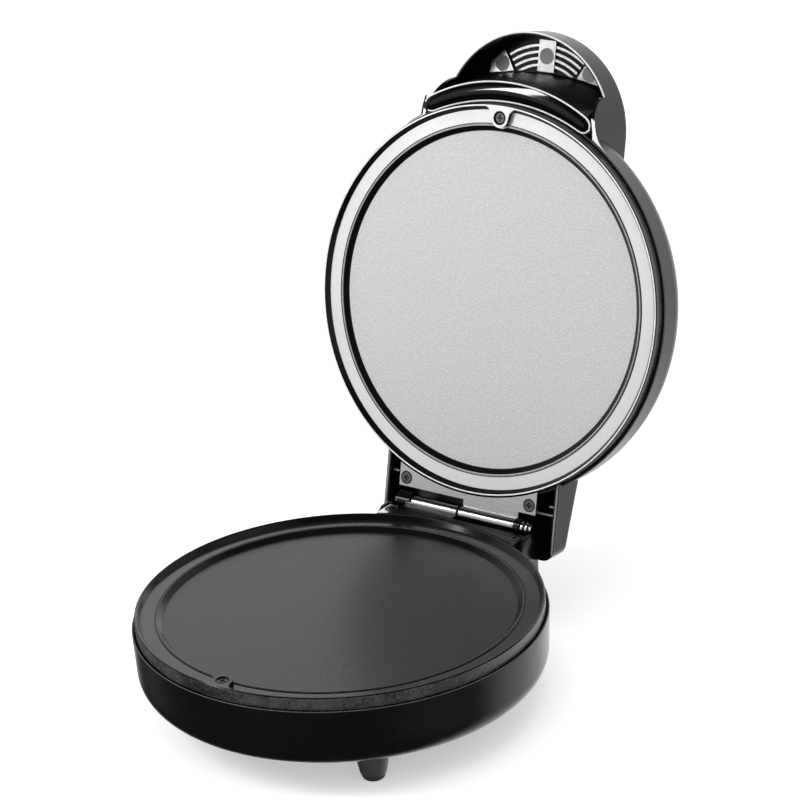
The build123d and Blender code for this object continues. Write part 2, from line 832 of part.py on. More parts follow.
with BuildPart() as lid_casing:
    add(hood(0))
    add(hood(hood_wall), mode=Mode.SUBTRACT)
    add(nose(0, lid_rim_depth))
    add(nose(nose_wall, lid_rim_depth + nose_wall), mode=Mode.SUBTRACT)
    with BuildSketch(level(lid_frame, lid_rim_depth)):
        with Locations((0, nose_low_y + nose_low_radius)):
            Circle(nose_low_radius)
        with Locations((0, nose_low_y + crescent_half_width)):
            Rectangle(2 * crescent_half_width, 2 * crescent_half_width, mode=Mode.INTERSECT)
        with Locations((crescent_half_width, crescent_tip_y), (-crescent_half_width, crescent_tip_y)):
            Circle(crescent_tip_radius)
    extrude(amount=crescent_thickness)
    revolve(
        drum_section(lid_frame, lid_rim_depth, lid_casing_depth, lid_corner, 0),
        axis=centre_axis(lid_frame),
    )
    revolve(
        drum_section(lid_frame, lid_rim_depth, lid_casing_depth, lid_corner, casing_wall),
        axis=centre_axis(lid_frame),
        mode=Mode.SUBTRACT,
    )
    with BuildSketch(level(lid_frame, 0)):
        Circle(casing_radius - casing_wall)
    extrude(amount=lid_rim_depth, mode=Mode.SUBTRACT)
    lid_floor = lid_casing_depth - casing_wall
    with BuildSketch(level(lid_frame, lid_floor)):
        with Locations((0, lug_y)):
            Circle(post_radius)
        with PolarLocations(shield_post_radius, shield_post_count, shield_post_start):
            Circle(post_radius)
    extrude(amount=-(lid_floor - shield_depth - shield_thickness))
    with BuildSketch(level(lid_frame, shield_depth + shield_thickness)):
        with Locations((0, lug_y)):
            Circle(post_radius)
    extrude(amount=-(shield_depth + shield_thickness - skirt_depth))
    with BuildSketch(level(lid_frame, hood_post_depth)):
        with Locations(*leaf_screws):
            Circle(post_radius)
    extrude(amount=-(hood_post_depth - leaf_thickness))
    with BuildSketch(level(lid_frame, leaf_thickness)):
        with Locations(*leaf_screws):
            Circle(screw_radius + screw_clearance)
    extrude(amount=hood_hole_depth, mode=Mode.SUBTRACT)
    with BuildSketch(level(lid_frame, leaf_thickness)):
        with Locations((0, lug_y), *shield_places()):
            Circle(screw_radius + screw_clearance)
    extrude(amount=lid_floor - leaf_thickness - 4, mode=Mode.SUBTRACT)
    with BuildSketch(side_plane(lid_frame, 0)):
        with Locations((casing_radius, lid_rim_depth + wire_window_height)):
            Rectangle(6 * casing_wall, wire_window_height)
    extrude(amount=wire_window_width / 2, both=True, mode=Mode.SUBTRACT)
write(lid_casing, "lid_casing")

# Handle: an arched cover, its ribbed liner and the caps over its screws

with BuildPart() as handle_cover:
    extrude(
        visor_outline(visor_foot_depth, visor_radius, visor_y, visor_side_y, visor_rear_y),
        amount=visor_top_depth - visor_foot_depth,
    )
    visor_top = handle_cover.faces().sort_by(centre_axis(lid_frame))[-1]
    fillet(visor_top.edges(), visor_top_edge)
    extrude(
        visor_outline(
            visor_foot_depth,
            visor_radius - visor_wall,
            visor_y,
            visor_side_y,
            visor_rear_y - visor_wall,
        ),
        amount=visor_ceiling - visor_foot_depth,
        mode=Mode.SUBTRACT,
    )
    with BuildSketch(side_plane(lid_frame, 0)):
        with BuildLine():
            Polyline(
                (visor_foot_y, visor_foot_depth),
                (visor_foot_y, -visor_foot_depth),
                (visor_y - 2 * visor_radius, -visor_foot_depth),
                (visor_y - 2 * visor_radius, visor_rim_depth),
                (visor_rim_y, visor_rim_depth),
            )
            ThreePointArc(
                (visor_rim_y, visor_rim_depth),
                (
                    visor_rim_y + 0.3 * (visor_foot_y - visor_rim_y),
                    visor_foot_depth + 0.3 * (visor_rim_depth - visor_foot_depth),
                ),
                (visor_foot_y, visor_foot_depth),
            )
        make_face()
    extrude(amount=2 * visor_radius, both=True, mode=Mode.SUBTRACT)
    revolve(
        drum_section(lid_frame, lid_rim_depth, lid_casing_depth, lid_corner, -seam_gap),
        axis=centre_axis(lid_frame),
        mode=Mode.SUBTRACT,
    )
    with BuildSketch(level(lid_frame, visor_ceiling)):
        with Locations((lamp_x, lamp_y), (-lamp_x, lamp_y)):
            Circle(lens_radius + seam_gap)
    extrude(amount=visor_roof, mode=Mode.SUBTRACT)
write(handle_cover, "handle_cover")

with BuildPart() as handle_liner:
    with BuildSketch(level(lid_frame, visor_ceiling)):
        with Locations((0, liner_y)):
            Circle(liner_radius)
        with Locations((0, nose_high_y + nose_high_radius)):
            Circle(nose_high_radius + liner_rear_clearance, mode=Mode.SUBTRACT)
    extrude(amount=-liner_thickness)
    with BuildSketch(level(lid_frame, liner_face)):
        for turn in range(rib_count):
            rib_radius = rib_first_radius + turn * rib_pitch
            with BuildLine():
                CenterArc(
                    (0, rib_centre_y),
                    rib_radius,
                    270 - rib_half_angle,
                    2 * rib_half_angle,
                )
                offset(amount=rib_width / 2, side=Side.BOTH)
            make_face()
        with Locations((0, nose_high_y + nose_high_radius)):
            Circle(nose_high_radius + liner_rear_clearance, mode=Mode.SUBTRACT)
    extrude(amount=-rib_height)
    bar_rear_y = nose_high_y - liner_rear_clearance
    with BuildSketch(level(lid_frame, liner_face)):
        with Locations((0, (bar_front_y + bar_rear_y) / 2)):
            Rectangle(2 * bar_half_width, bar_rear_y - bar_front_y)
        for side in (1, -1):
            with BuildLine():
                Polyline(*[(side * x, y) for x, y in pad_corners], close=True)
            make_face()
        with Locations((0, nose_high_y + nose_high_radius)):
            Circle(nose_high_radius + liner_rear_clearance, mode=Mode.SUBTRACT)
    extrude(amount=-bar_height)
    with BuildSketch(level(lid_frame, liner_face - bar_height)):
        with Locations(*cap_centres):
            Circle(cap_radius + pin_clearance)
    extrude(amount=cap_height - cap_proud, mode=Mode.SUBTRACT)
write(handle_liner, "handle_liner")

with BuildPart() as handle_screw_caps:
    with BuildSketch(level(lid_frame, liner_face - bar_height - cap_proud)):
        with Locations(*cap_centres):
            Circle(cap_radius)
    extrude(amount=cap_height)
write(handle_screw_caps, "handle_screw_caps")

# Signal lenses in the handle cover and the lamps behind them

lamp_places = [(lamp_x, lamp_y), (-lamp_x, lamp_y)]
with BuildPart() as signal_lenses:
    with BuildSketch(level(lid_frame, visor_ceiling)):
        with Locations(*lamp_places):
            Circle(lens_flange_radius)
    extrude(amount=-lens_flange_thickness)
    with BuildSketch(level(lid_frame, visor_ceiling)):
        with Locations(*lamp_places):
            Circle(lens_radius)
    extrude(amount=visor_roof + lens_rise)
    fillet(signal_lenses.edges().group_by(centre_axis(lid_frame))[-1], 0.9)
write(signal_lenses, "signal_lenses")

with BuildPart() as signal_lamps:
    with BuildSketch(level(lid_frame, visor_ceiling - lens_flange_thickness)):
        with Locations(*lamp_places):
            Circle(lamp_radius)
    extrude(amount=-lamp_length + lens_flange_thickness)
write(signal_lamps, "signal_lamps")

# Lid cooking plate and what sits behind it

lid_plate = cooking_plate(lid_frame)
write(lid_plate, "lid_plate")

lid_heating_element = heating_element(lid_frame)
write(lid_heating_element, "lid_heating_element")

lid_heat_shield = heat_shield(lid_frame)
write(lid_heat_shield, "lid_heat_shield")

lid_thermostat = thermostat(lid_frame)
write(lid_thermostat, "lid_thermostat")

lid_plate_screw = pan_screws(lid_frame, [(0, lug_y)], lug_sink_depth, screw_length)
write(lid_plate_screw, "lid_plate_screw")

lid_shield_screws = pan_screws(lid_frame, shield_places(), shield_depth, screw_length / 2)
write(lid_shield_screws, "lid_shield_screws")
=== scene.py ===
"""Looks of the electric pizza maker: its finishes, its small trim, the studio and the camera."""

import json
import logging
from dataclasses import dataclass, replace
from enum import Enum
from functools import cache
from math import cos, hypot, radians, sin

import bmesh
import bpy
from mathutils import Matrix, Vector


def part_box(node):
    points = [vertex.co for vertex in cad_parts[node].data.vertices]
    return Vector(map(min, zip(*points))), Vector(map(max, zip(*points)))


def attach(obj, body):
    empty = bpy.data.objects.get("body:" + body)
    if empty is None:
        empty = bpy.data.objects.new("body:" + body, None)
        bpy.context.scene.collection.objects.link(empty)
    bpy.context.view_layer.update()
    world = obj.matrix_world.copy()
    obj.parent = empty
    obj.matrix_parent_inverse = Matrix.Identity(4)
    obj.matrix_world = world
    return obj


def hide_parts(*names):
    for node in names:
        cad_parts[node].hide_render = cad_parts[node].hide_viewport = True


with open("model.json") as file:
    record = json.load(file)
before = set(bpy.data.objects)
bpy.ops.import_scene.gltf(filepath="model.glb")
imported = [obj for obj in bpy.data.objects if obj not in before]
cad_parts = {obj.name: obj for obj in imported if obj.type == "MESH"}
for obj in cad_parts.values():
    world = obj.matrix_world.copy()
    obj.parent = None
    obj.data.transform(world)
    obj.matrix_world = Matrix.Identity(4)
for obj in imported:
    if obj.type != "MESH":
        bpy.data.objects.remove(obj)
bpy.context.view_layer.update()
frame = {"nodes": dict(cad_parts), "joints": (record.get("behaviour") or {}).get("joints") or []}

Colour = tuple[float, float, float]
Place = tuple[float, float, float]  # metres, in the shared frame
Spot = tuple[float, float]  # millimetres, in a body's plan
Span = tuple[float, float]  # from one value to another
Grain = tuple[float, float, float]  # fine scale, coarse scale and the coarse noise's share
Socket = bpy.types.NodeSocket
Shape = bmesh.types.BMesh

log = logging.getLogger("pizza_maker")
MM = 0.001
FULL_TURN = 360.0
SHARP_ANGLE = 40.0
WHITE: Colour = (1.0, 1.0, 1.0)
MIX_INPUTS = (0, 6, 7)  # factor, first and second colour of a Mix node for colours
MIX_RESULT = 2


class Body(Enum):
    """The two bodies that the hinge joins."""

    BASE = "base"
    LID = "lid"


class Side(Enum):
    """The two sides of a body's plan."""

    LEFT = -1
    RIGHT = 1


@dataclass(frozen=True)
class BodyFrame:
    """Axes of one body: x and y in its plan, with the lid shut, and z the depth below its lip."""

    origin: Vector
    across: Vector
    back: Vector
    inward: Vector

    def matrix(self) -> Matrix:
        """Gives the matrix from plan and depth to the shared frame."""
        turn = Matrix((self.across, self.back, self.inward)).transposed().to_4x4()
        return Matrix.Translation(self.origin) @ turn

    def point(self, x: float, y: float, depth: float) -> Vector:
        """Takes a point from plan and depth, in millimetres, to the shared frame, in metres."""
        return self.matrix() @ (Vector((x, y, depth)) * MM)


def body_frames() -> dict[Body, BodyFrame]:
    """Works out both bodies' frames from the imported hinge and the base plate's lip.

    Returns:
        The frame of the base and of the lid at rest.
    """
    joint = frame["joints"][0]
    hinge = Vector(joint["pos_m"])
    opening = radians(joint["range_deg"][1])
    low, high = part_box("base_plate")
    centre = Vector((0, (low[1] + high[1]) / 2, high[2]))
    back = Vector((0, cos(opening), -sin(opening)))
    up = Vector((0, sin(opening), cos(opening)))
    lid_origin = hinge - back * (hinge.y - centre.y) + up * (hinge.z - centre.z)
    base = BodyFrame(centre, Vector((-1, 0, 0)), Vector((0, 1, 0)), Vector((0, 0, -1)))
    lid = BodyFrame(lid_origin, Vector((1, 0, 0)), back, up)
    return {Body.BASE: base, Body.LID: lid}


FRAMES = body_frames()
HINGE = Vector(frame["joints"][0]["pos_m"])


@dataclass(frozen=True)
class Skin:
    """Fine relief of a surface: its grain, the range of it that shows, its depth and strength."""

    grain: Grain
    shown: Span
    depth: float
    strength: float


class Wiring:
    """Adds and links the nodes of one material, group or world."""

    def __init__(self, tree: bpy.types.NodeTree) -> None:
        """Starts on a node tree."""
        self.tree = tree

    def feed(self, target: Socket, value: object) -> None:
        """Gives an input its value.

        Args:
            target: The input.
            value: A socket to link, or a number, a vector or a colour to set.
        """
        if isinstance(value, Socket):
            self.tree.links.new(value, target)
        elif target.type == "RGBA":
            target.default_value = (*value, 1.0)
        else:
            target.default_value = value

    def apply(self, node: bpy.types.Node, **settings: object) -> None:
        """Sets a node's properties and feeds its inputs.

        Args:
            node: The node.
            settings: Properties and inputs by name, with underscores for an input's spaces.
        """
        for name, value in settings.items():
            if hasattr(node, name):
                setattr(node, name, value)
            else:
                self.feed(node.inputs[name.replace("_", " ")], value)

    def add(self, kind: str, **settings: object) -> bpy.types.Node:
        """Adds a node.

        Args:
            kind: The node's type name.
            settings: Its properties and inputs, as in apply.

        Returns:
            The new node.
        """
        node = self.tree.nodes.new(kind)
        self.apply(node, **settings)
        return node

    def calculate(self, kind: str, operation: str, values: tuple[object, ...]) -> bpy.types.Node:
        """Adds a node that calculates.

        Args:
            kind: The node's type name.
            operation: Its operation.
            values: Sockets, numbers or vectors for its inputs, in their order.

        Returns:
            The new node.
        """
        node = self.add(kind, operation=operation)
        for target, value in zip(node.inputs, values):
            self.feed(target, value)
        return node

    def math(self, operation: str, *values: object) -> Socket:
        """Gives the result of an operation on numbers."""
        return self.calculate("ShaderNodeMath", operation, values).outputs["Value"]

    def vector(self, operation: str, *values: object) -> Socket:
        """Gives the result of an operation on vectors, which is a number for some."""
        result = "Value" if operation in ("LENGTH", "DOT_PRODUCT") else "Vector"
        return self.calculate("ShaderNodeVectorMath", operation, values).outputs[result]

    def axis(self, vector: Socket, letter: str, factor: float) -> Socket:
        """Gives a vector's component on one axis, times a factor."""
        parts = self.add("ShaderNodeSeparateXYZ", Vector=vector)
        return self.math("MULTIPLY", parts.outputs[letter], factor)

    def flipped(self, mask: Socket) -> Socket:
        """Gives 1 minus a mask."""
        return self.math("SUBTRACT", 1.0, mask)

    def ramp(self, source: Socket, low: float, high: float) -> Socket:
        """Gives a smooth mask, 0 where the source is low and 1 where it is high."""
        limits = {"From_Min": low, "From_Max": high, "interpolation_type": "SMOOTHSTEP"}
        return self.add("ShaderNodeMapRange", Value=source, **limits).outputs["Result"]

    def level(self, mask: Socket, low: float, high: float) -> Socket:
        """Gives a number that is low where the mask is 0 and high where it is 1."""
        return self.math("ADD", self.math("MULTIPLY", mask, high - low), low)

    def blend(self, mask: Socket, first: Socket | Colour, second: Socket | Colour) -> Socket:
        """Blends two colours.

        Args:
            mask: How much of the second colour shows, from 0 to 1.
            first: The colour where the mask is 0.
            second: The colour where the mask is 1.

        Returns:
            The blended colour.
        """
        node = self.add("ShaderNodeMix", data_type="RGBA")
        for place, value in zip(MIX_INPUTS, (mask, first, second)):
            self.feed(node.inputs[place], value)
        return node.outputs[MIX_RESULT]

    def noise(
        self, vector: Socket, scale: Socket | float, detail: float, roughness: float = 0.5
    ) -> Socket:
        """Gives a noise from 0 to 1."""
        settings = {"Vector": vector, "Scale": scale, "Detail": detail, "Roughness": roughness}
        return self.add("ShaderNodeTexNoise", **settings).outputs["Fac"]

    def group(self, tree: bpy.types.NodeTree, **values: object) -> bpy.types.NodeOutputs:
        """Places a shared group and gives its outputs."""
        return self.add("ShaderNodeGroup", node_tree=tree, **values).outputs

    def grain(self, place: Socket, fine: float, coarse: float, share: float) -> Socket:
        """Gives the mask of the grain group."""
        values = {"Vector": place, "Fine": fine, "Coarse": coarse, "Share": share}
        return self.group(Groups.grain(), **values)["Mask"]

    def wear(self, place: Socket, radius: float, patchiness: float = 60.0) -> Socket:
        """Gives the mask of the edge wear group, for edges of a radius in metres."""
        values = {"Vector": place, "Radius": radius, "Patchiness": patchiness}
        return self.group(Groups.edge_wear(), **values)["Mask"]

    def place(self, body: Body | None = None) -> Socket:
        """Gives the place on the surface.

        Args:
            body: The body whose plan and depth are wanted, or None for the shared frame.

        Returns:
            The place, in metres.
        """
        place = self.add("ShaderNodeTexCoord").outputs["Object"]
        if body is None:
            return place
        matrix = FRAMES[body].matrix()
        return self.add(
            "ShaderNodeMapping", vector_type="TEXTURE", Vector=place,
            Location=matrix.to_translation(), Rotation=matrix.to_euler(),
        ).outputs["Vector"]

    def plan(self, body: Body) -> tuple[Socket, bpy.types.NodeOutputs]:
        """Gives what a finish that follows a body's plan needs.

        Args:
            body: The body.

        Returns:
            The place in its plan and depth, and the outputs of the plan group.
        """
        place = self.place(body)
        facing = self.add(
            "ShaderNodeMapping", vector_type="TEXTURE", Rotation=FRAMES[body].matrix().to_euler(),
            Vector=self.add("ShaderNodeTexCoord").outputs["Normal"],
        ).outputs["Vector"]
        return place, self.group(Groups.plan(), Place=place, Facing=facing)

    def bump(self, height: Socket, depth: float, strength: float) -> Socket:
        """Gives the normal of a relief whose depth is in metres."""
        settings = {"Strength": strength, "Distance": depth, "Height": height}
        return self.add("ShaderNodeBump", **settings).outputs["Normal"]

    def skin(self, place: Socket, skin: Skin) -> tuple[Socket, Socket]:
        """Gives the mask and the normal of a skin."""
        grain = self.grain(place, *skin.grain)
        return self.ramp(grain, *skin.shown), self.bump(grain, skin.depth, skin.strength)


class Groups:
    """Shader node groups that several finishes share, each built once."""

    EDGE_TURN: Span = (0.01, 0.12)
    WORN_PATCHES: Span = (0.42, 0.6)
    FACE_TILT: Span = (0.84, 0.96)

    @staticmethod
    def open(
        name: str, inputs: dict[str, float | None], outputs: tuple[str, ...]
    ) -> tuple[Wiring, bpy.types.NodeOutputs, bpy.types.NodeInputs]:
        """Starts a group.

        Args:
            name: The group's name.
            inputs: Default of each number that goes in, or None for a vector.
            outputs: Names of the numbers that come out.

        Returns:
            The group's wiring, what it is given, and where its results go.
        """
        tree = bpy.data.node_groups.new(name, "ShaderNodeTree")
        for label, default in inputs.items():
            kind = "NodeSocketVector" if default is None else "NodeSocketFloat"
            socket = tree.interface.new_socket(label, in_out="INPUT", socket_type=kind)
            if default is not None:
                socket.default_value = default
        for label in outputs:
            tree.interface.new_socket(label, in_out="OUTPUT", socket_type="NodeSocketFloat")
        wiring = Wiring(tree)
        return wiring, wiring.add("NodeGroupInput").outputs, wiring.add("NodeGroupOutput").inputs

    @staticmethod
    @cache
    def grain() -> bpy.types.NodeTree:
        """Builds the grain group: two sizes of noise mixed into one mask.

        Returns:
            The group.
        """
        inputs = {"Vector": None, "Fine": 1200.0, "Coarse": 90.0, "Share": 0.3}
        wiring, given, result = Groups.open("grain", inputs, ("Mask",))
        fine = wiring.noise(given["Vector"], given["Fine"], detail=2.0, roughness=0.6)
        coarse = wiring.noise(given["Vector"], given["Coarse"], detail=4.0, roughness=0.55)
        slow = wiring.math("MULTIPLY", coarse, given["Share"])
        quick = wiring.math("MULTIPLY", fine, wiring.flipped(given["Share"]))
        wiring.feed(result["Mask"], wiring.math("ADD", slow, quick))
        return wiring.tree

    @staticmethod
    @cache
    def edge_wear() -> bpy.types.NodeTree:
        """Builds the edge wear group: a mask that is 1 on worn edges and 0 on flats.

        Returns:
            The group.
        """
        inputs = {"Vector": None, "Radius": 0.0006, "Patchiness": 60.0}
        wiring, given, result = Groups.open("edge_wear", inputs, ("Mask",))
        bevel = wiring.add("ShaderNodeBevel", samples=4, Radius=given["Radius"])
        surface = wiring.add("ShaderNodeNewGeometry")
        likeness = wiring.vector("DOT_PRODUCT", bevel.outputs["Normal"], surface.outputs["Normal"])
        edge = wiring.ramp(wiring.flipped(likeness), *Groups.EDGE_TURN)
        patches = wiring.noise(given["Vector"], given["Patchiness"], detail=3.0)
        worn = wiring.ramp(patches, *Groups.WORN_PATCHES)
        wiring.feed(result["Mask"], wiring.math("MULTIPLY", edge, worn))
        return wiring.tree

    @staticmethod
    @cache
    def brushing() -> bpy.types.NodeTree:
        """Builds the brushing group: streaks along X of the vector that it is given.

        Returns:
            The group.
        """
        inputs = {"Vector": None, "Length": 60.0, "Fineness": 2500.0}
        wiring, given, result = Groups.open("brushing", inputs, ("Mask",))
        sizes = {"X": given["Length"], "Y": given["Fineness"], "Z": given["Fineness"]}
        scale = wiring.add("ShaderNodeCombineXYZ", **sizes).outputs["Vector"]
        stretched = wiring.vector("MULTIPLY", given["Vector"], scale)
        wiring.feed(result["Mask"], wiring.noise(stretched, 1.0, detail=3.0, roughness=0.65))
        return wiring.tree

    @staticmethod
    @cache
    def plan() -> bpy.types.NodeTree:
        """Builds the plan group: radius and depth in millimetres, and 1 where a face looks out.

        Returns:
            The group.
        """
        inputs = {"Place": None, "Facing": None}
        wiring, given, result = Groups.open("plan", inputs, ("Radius", "Depth", "Face"))
        flat = wiring.vector("MULTIPLY", given["Place"], (1.0, 1.0, 0.0))
        radius = wiring.math("MULTIPLY", wiring.vector("LENGTH", flat), 1 / MM)
        wiring.feed(result["Radius"], radius)
        wiring.feed(result["Depth"], wiring.axis(given["Place"], "Z", 1 / MM))
        outward = wiring.axis(given["Facing"], "Z", -1.0)
        wiring.feed(result["Face"], wiring.ramp(outward, *Groups.FACE_TILT))
        return wiring.tree


def shade(colour: Colour, factor: float) -> Colour:
    """Makes a colour brighter or darker by a factor."""
    return tuple(value * factor for value in colour)


class Finish:
    """A surface finish, which builds its material once."""

    name: str
    slot: str

    def paint(self, wiring: Wiring, surface: bpy.types.Node) -> None:
        """Wires the finish into a shader.

        Args:
            wiring: The material's wiring.
            surface: The Principled shader.
        """
        raise NotImplementedError

    @cache
    def material(self) -> bpy.types.Material:
        """Gives the finish's material, built on first use.

        Returns:
            The material.
        """
        made = bpy.data.materials.new(f"{self.name}_finish")
        made.use_nodes = True
        self.paint(Wiring(made.node_tree), made.node_tree.nodes["Principled BSDF"])
        return made


@dataclass(frozen=True)
class MouldedPlastic(Finish):
    """Moulded plastic: a fine skin, uneven gloss, rubbed edges and a duller part where asked."""

    name: str
    colour: Colour
    worn: Colour
    gloss: Span
    skin_scale: float = 900.0
    skin_depth: float = 0.00002
    sheen: float = 0.5
    mottle: float = 1.5
    dull_from: float = 0.0
    slot: str = "black_shell"
    dull_blend: float = 0.6
    dullness: float = 0.25
    patch_scale: float = 35.0
    patch_share: float = 0.55
    mottle_range: Span = (0.35, 0.7)
    gloss_range: Span = (0.3, 0.7)
    edge_radius: float = 0.0005
    edge_dullness: float = 0.1
    relief: float = 0.35

    def paint(self, wiring: Wiring, surface: bpy.types.Node) -> None:
        """Wires the colour, the gloss, the skin and the dull part in front of the lid's drum.

        Args:
            wiring: The material's wiring.
            surface: The Principled shader.
        """
        place = wiring.place()
        grain = wiring.grain(place, self.skin_scale, self.patch_scale, self.patch_share)
        wear = wiring.wear(place, self.edge_radius)
        mottle = wiring.ramp(grain, *self.mottle_range)
        colour = wiring.blend(mottle, self.colour, shade(self.colour, self.mottle))
        rough = wiring.level(wiring.ramp(grain, *self.gloss_range), *self.gloss)
        if self.dull_from:
            forward = wiring.axis(wiring.place(Body.LID), "Y", -1 / MM)
            dull = wiring.ramp(forward, self.dull_from, self.dull_from + self.dull_blend)
            rough = wiring.math("ADD", rough, wiring.math("MULTIPLY", dull, self.dullness))
        rubbed = wiring.math("MULTIPLY", wear, self.edge_dullness)
        wiring.apply(
            surface,
            Base_Color=wiring.blend(wear, colour, self.worn),
            Roughness=wiring.math("ADD", rough, rubbed),
            Specular_IOR_Level=self.sheen,
            Normal=wiring.bump(grain, self.skin_depth, self.relief),
        )


@dataclass(frozen=True)
class PlateCoat(Finish):
    """Coated cast plate: a grained disc, a smoother channel, painted shade on the sloping walls
    and a lip.
    """

    name: str
    body: Body
    disc: Colour
    disc_dark: Colour
    channel: Colour
    lip: Colour
    # wall: painted shade on the faces that do not look out, the sloping walls and the lip's sides
    wall: Colour
    disc_gloss: Span
    channel_gloss: Span
    disc_metal: float = 0.0
    channel_metal: float = 0.0
    sheen: float = 0.2
    slot: str = "light_plate"
    disc_radius: float = 86.6
    lip_radius: float = 97.4
    zone_blend: float = 0.4
    skin: Skin = Skin((1500.0, 400.0, 0.12), (0.34, 0.66), 0.00006, 0.35)
    cloud: Grain = (420.0, 26.0, 0.6)
    cloud_range: Span = (0.3, 0.7)
    cloud_shade: float = 0.88

    def paint(self, wiring: Wiring, surface: bpy.types.Node) -> None:
        """Wires the zones by radius and by which way the surface faces; faces that do not look out
        get painted shade.

        Args:
            wiring: The material's wiring.
            surface: The Principled shader.
        """
        place, plan = wiring.plan(self.body)
        speckle, normal = wiring.skin(place, self.skin)
        cloud = wiring.ramp(wiring.grain(place, *self.cloud), *self.cloud_range)
        in_channel, on_lip = (
            wiring.ramp(plan["Radius"], start, start + self.zone_blend)
            for start in (self.disc_radius, self.lip_radius)
        )
        disc = wiring.blend(speckle, self.disc_dark, self.disc)
        channel = wiring.blend(cloud, shade(self.channel, self.cloud_shade), self.channel)
        face = wiring.blend(on_lip, wiring.blend(in_channel, disc, channel), self.lip)
        disc_rough = wiring.level(speckle, *self.disc_gloss)
        channel_rough = wiring.level(cloud, *self.channel_gloss)
        step = wiring.math("SUBTRACT", channel_rough, disc_rough)
        # the wall colour, which is painted shade, goes where the surface does not look out
        wiring.apply(
            surface,
            Base_Color=wiring.blend(plan["Face"], self.wall, face),
            Roughness=wiring.math("ADD", disc_rough, wiring.math("MULTIPLY", step, in_channel)),
            Specular_IOR_Level=self.sheen,
            Normal=normal,
        )
        if self.channel_metal:
            metal = wiring.level(in_channel, self.disc_metal, self.channel_metal)
            wiring.apply(surface, Metallic=wiring.math("MULTIPLY", plan["Face"], metal))


@dataclass(frozen=True)
class LeafSteel(Finish):
    """Sheet steel leaf: brushed, with a polished barrel and, where asked, a painted highlight at
    its left end.
    """

    name: str
    colour: Colour
    ear_highlight_reach: float = 0.0
    barrel: Colour = (0.4, 0.4, 0.4)
    ear_highlight: Colour = (0.7, 0.69, 0.68)
    gloss: Span = (0.26, 0.38)
    slot: str = "leaf_steel"
    barrel_reach: float = 4.03
    barrel_blend: float = 0.2
    barrel_polish: float = 0.6
    ear_highlight_blend: float = 0.5
    streak_length: float = 70.0
    streak_fineness: float = 1800.0
    streak_range: Span = (0.3, 0.7)
    streak_shade: float = 0.72
    streak_depth: float = 0.00003
    relief: float = 0.3
    edge_radius: float = 0.0004
    edge_gain: float = 1.2

    def paint(self, wiring: Wiring, surface: bpy.types.Node) -> None:
        """Wires the brushing, the barrel's polish and the painted highlight at the left end.

        Args:
            wiring: The material's wiring.
            surface: The Principled shader.
        """
        place = wiring.place()
        from_pin = wiring.vector("SUBTRACT", place, HINGE)
        from_axis = wiring.vector("LENGTH", wiring.vector("MULTIPLY", from_pin, (0.0, 1.0, 1.0)))
        reach = self.barrel_reach * MM
        sheet = wiring.ramp(from_axis, reach, reach + self.barrel_blend * MM)
        sizes = {"Length": self.streak_length, "Fineness": self.streak_fineness}
        streaks = wiring.group(Groups.brushing(), Vector=place, **sizes)["Mask"]
        mask = wiring.ramp(streaks, *self.streak_range)
        brushed = wiring.blend(mask, shade(self.colour, self.streak_shade), self.colour)
        # painted highlight on the leaf's left end
        if self.ear_highlight_reach:
            limits = (self.ear_highlight_reach * MM, (self.ear_highlight_reach + self.ear_highlight_blend) * MM)
            on_ear_highlight = wiring.ramp(wiring.axis(place, "X", -1.0), *limits)
            brushed = wiring.blend(on_ear_highlight, brushed, self.ear_highlight)
        colour = wiring.blend(sheet, self.barrel, brushed)
        wear = wiring.wear(place, self.edge_radius)
        polish = wiring.level(sheet, self.barrel_polish, 1.0)
        height = wiring.math("MULTIPLY", streaks, sheet)
        wiring.apply(
            surface,
            Base_Color=wiring.blend(wear, colour, shade(self.colour, self.edge_gain)),
            Roughness=wiring.math("MULTIPLY", wiring.level(mask, *self.gloss), polish),
            Metallic=1.0,
            Normal=wiring.bump(height, self.streak_depth, self.relief),
        )


@dataclass(frozen=True)
class TurnedSteel(Finish):
    """Plain metal of pins, clips, screws, element sheaths and sheets."""

    name: str
    colour: Colour
    stain: Colour
    gloss: Span
    slot: str = "bright_steel"
    skin: Skin = Skin((2200.0, 240.0, 0.6), (0.35, 0.68), 0.00002, 0.25)
    edge_radius: float = 0.0003
    edge_patchiness: float = 400.0
    edge_gain: float = 1.6
    edge_lift: float = 0.05

    def paint(self, wiring: Wiring, surface: bpy.types.Node) -> None:
        """Wires fine turning marks, stains and bright edges.

        Args:
            wiring: The material's wiring.
            surface: The Principled shader.
        """
        place = wiring.place()
        mask, normal = wiring.skin(place, self.skin)
        base = wiring.blend(mask, self.stain, self.colour)
        wear = wiring.wear(place, self.edge_radius, self.edge_patchiness)
        bright = tuple(min(1.0, value * self.edge_gain + self.edge_lift) for value in self.colour)
        wiring.apply(
            surface,
            Base_Color=wiring.blend(wear, base, bright),
            Roughness=wiring.level(mask, self.gloss[1], self.gloss[0]),
            Metallic=1.0,
            Normal=normal,
        )


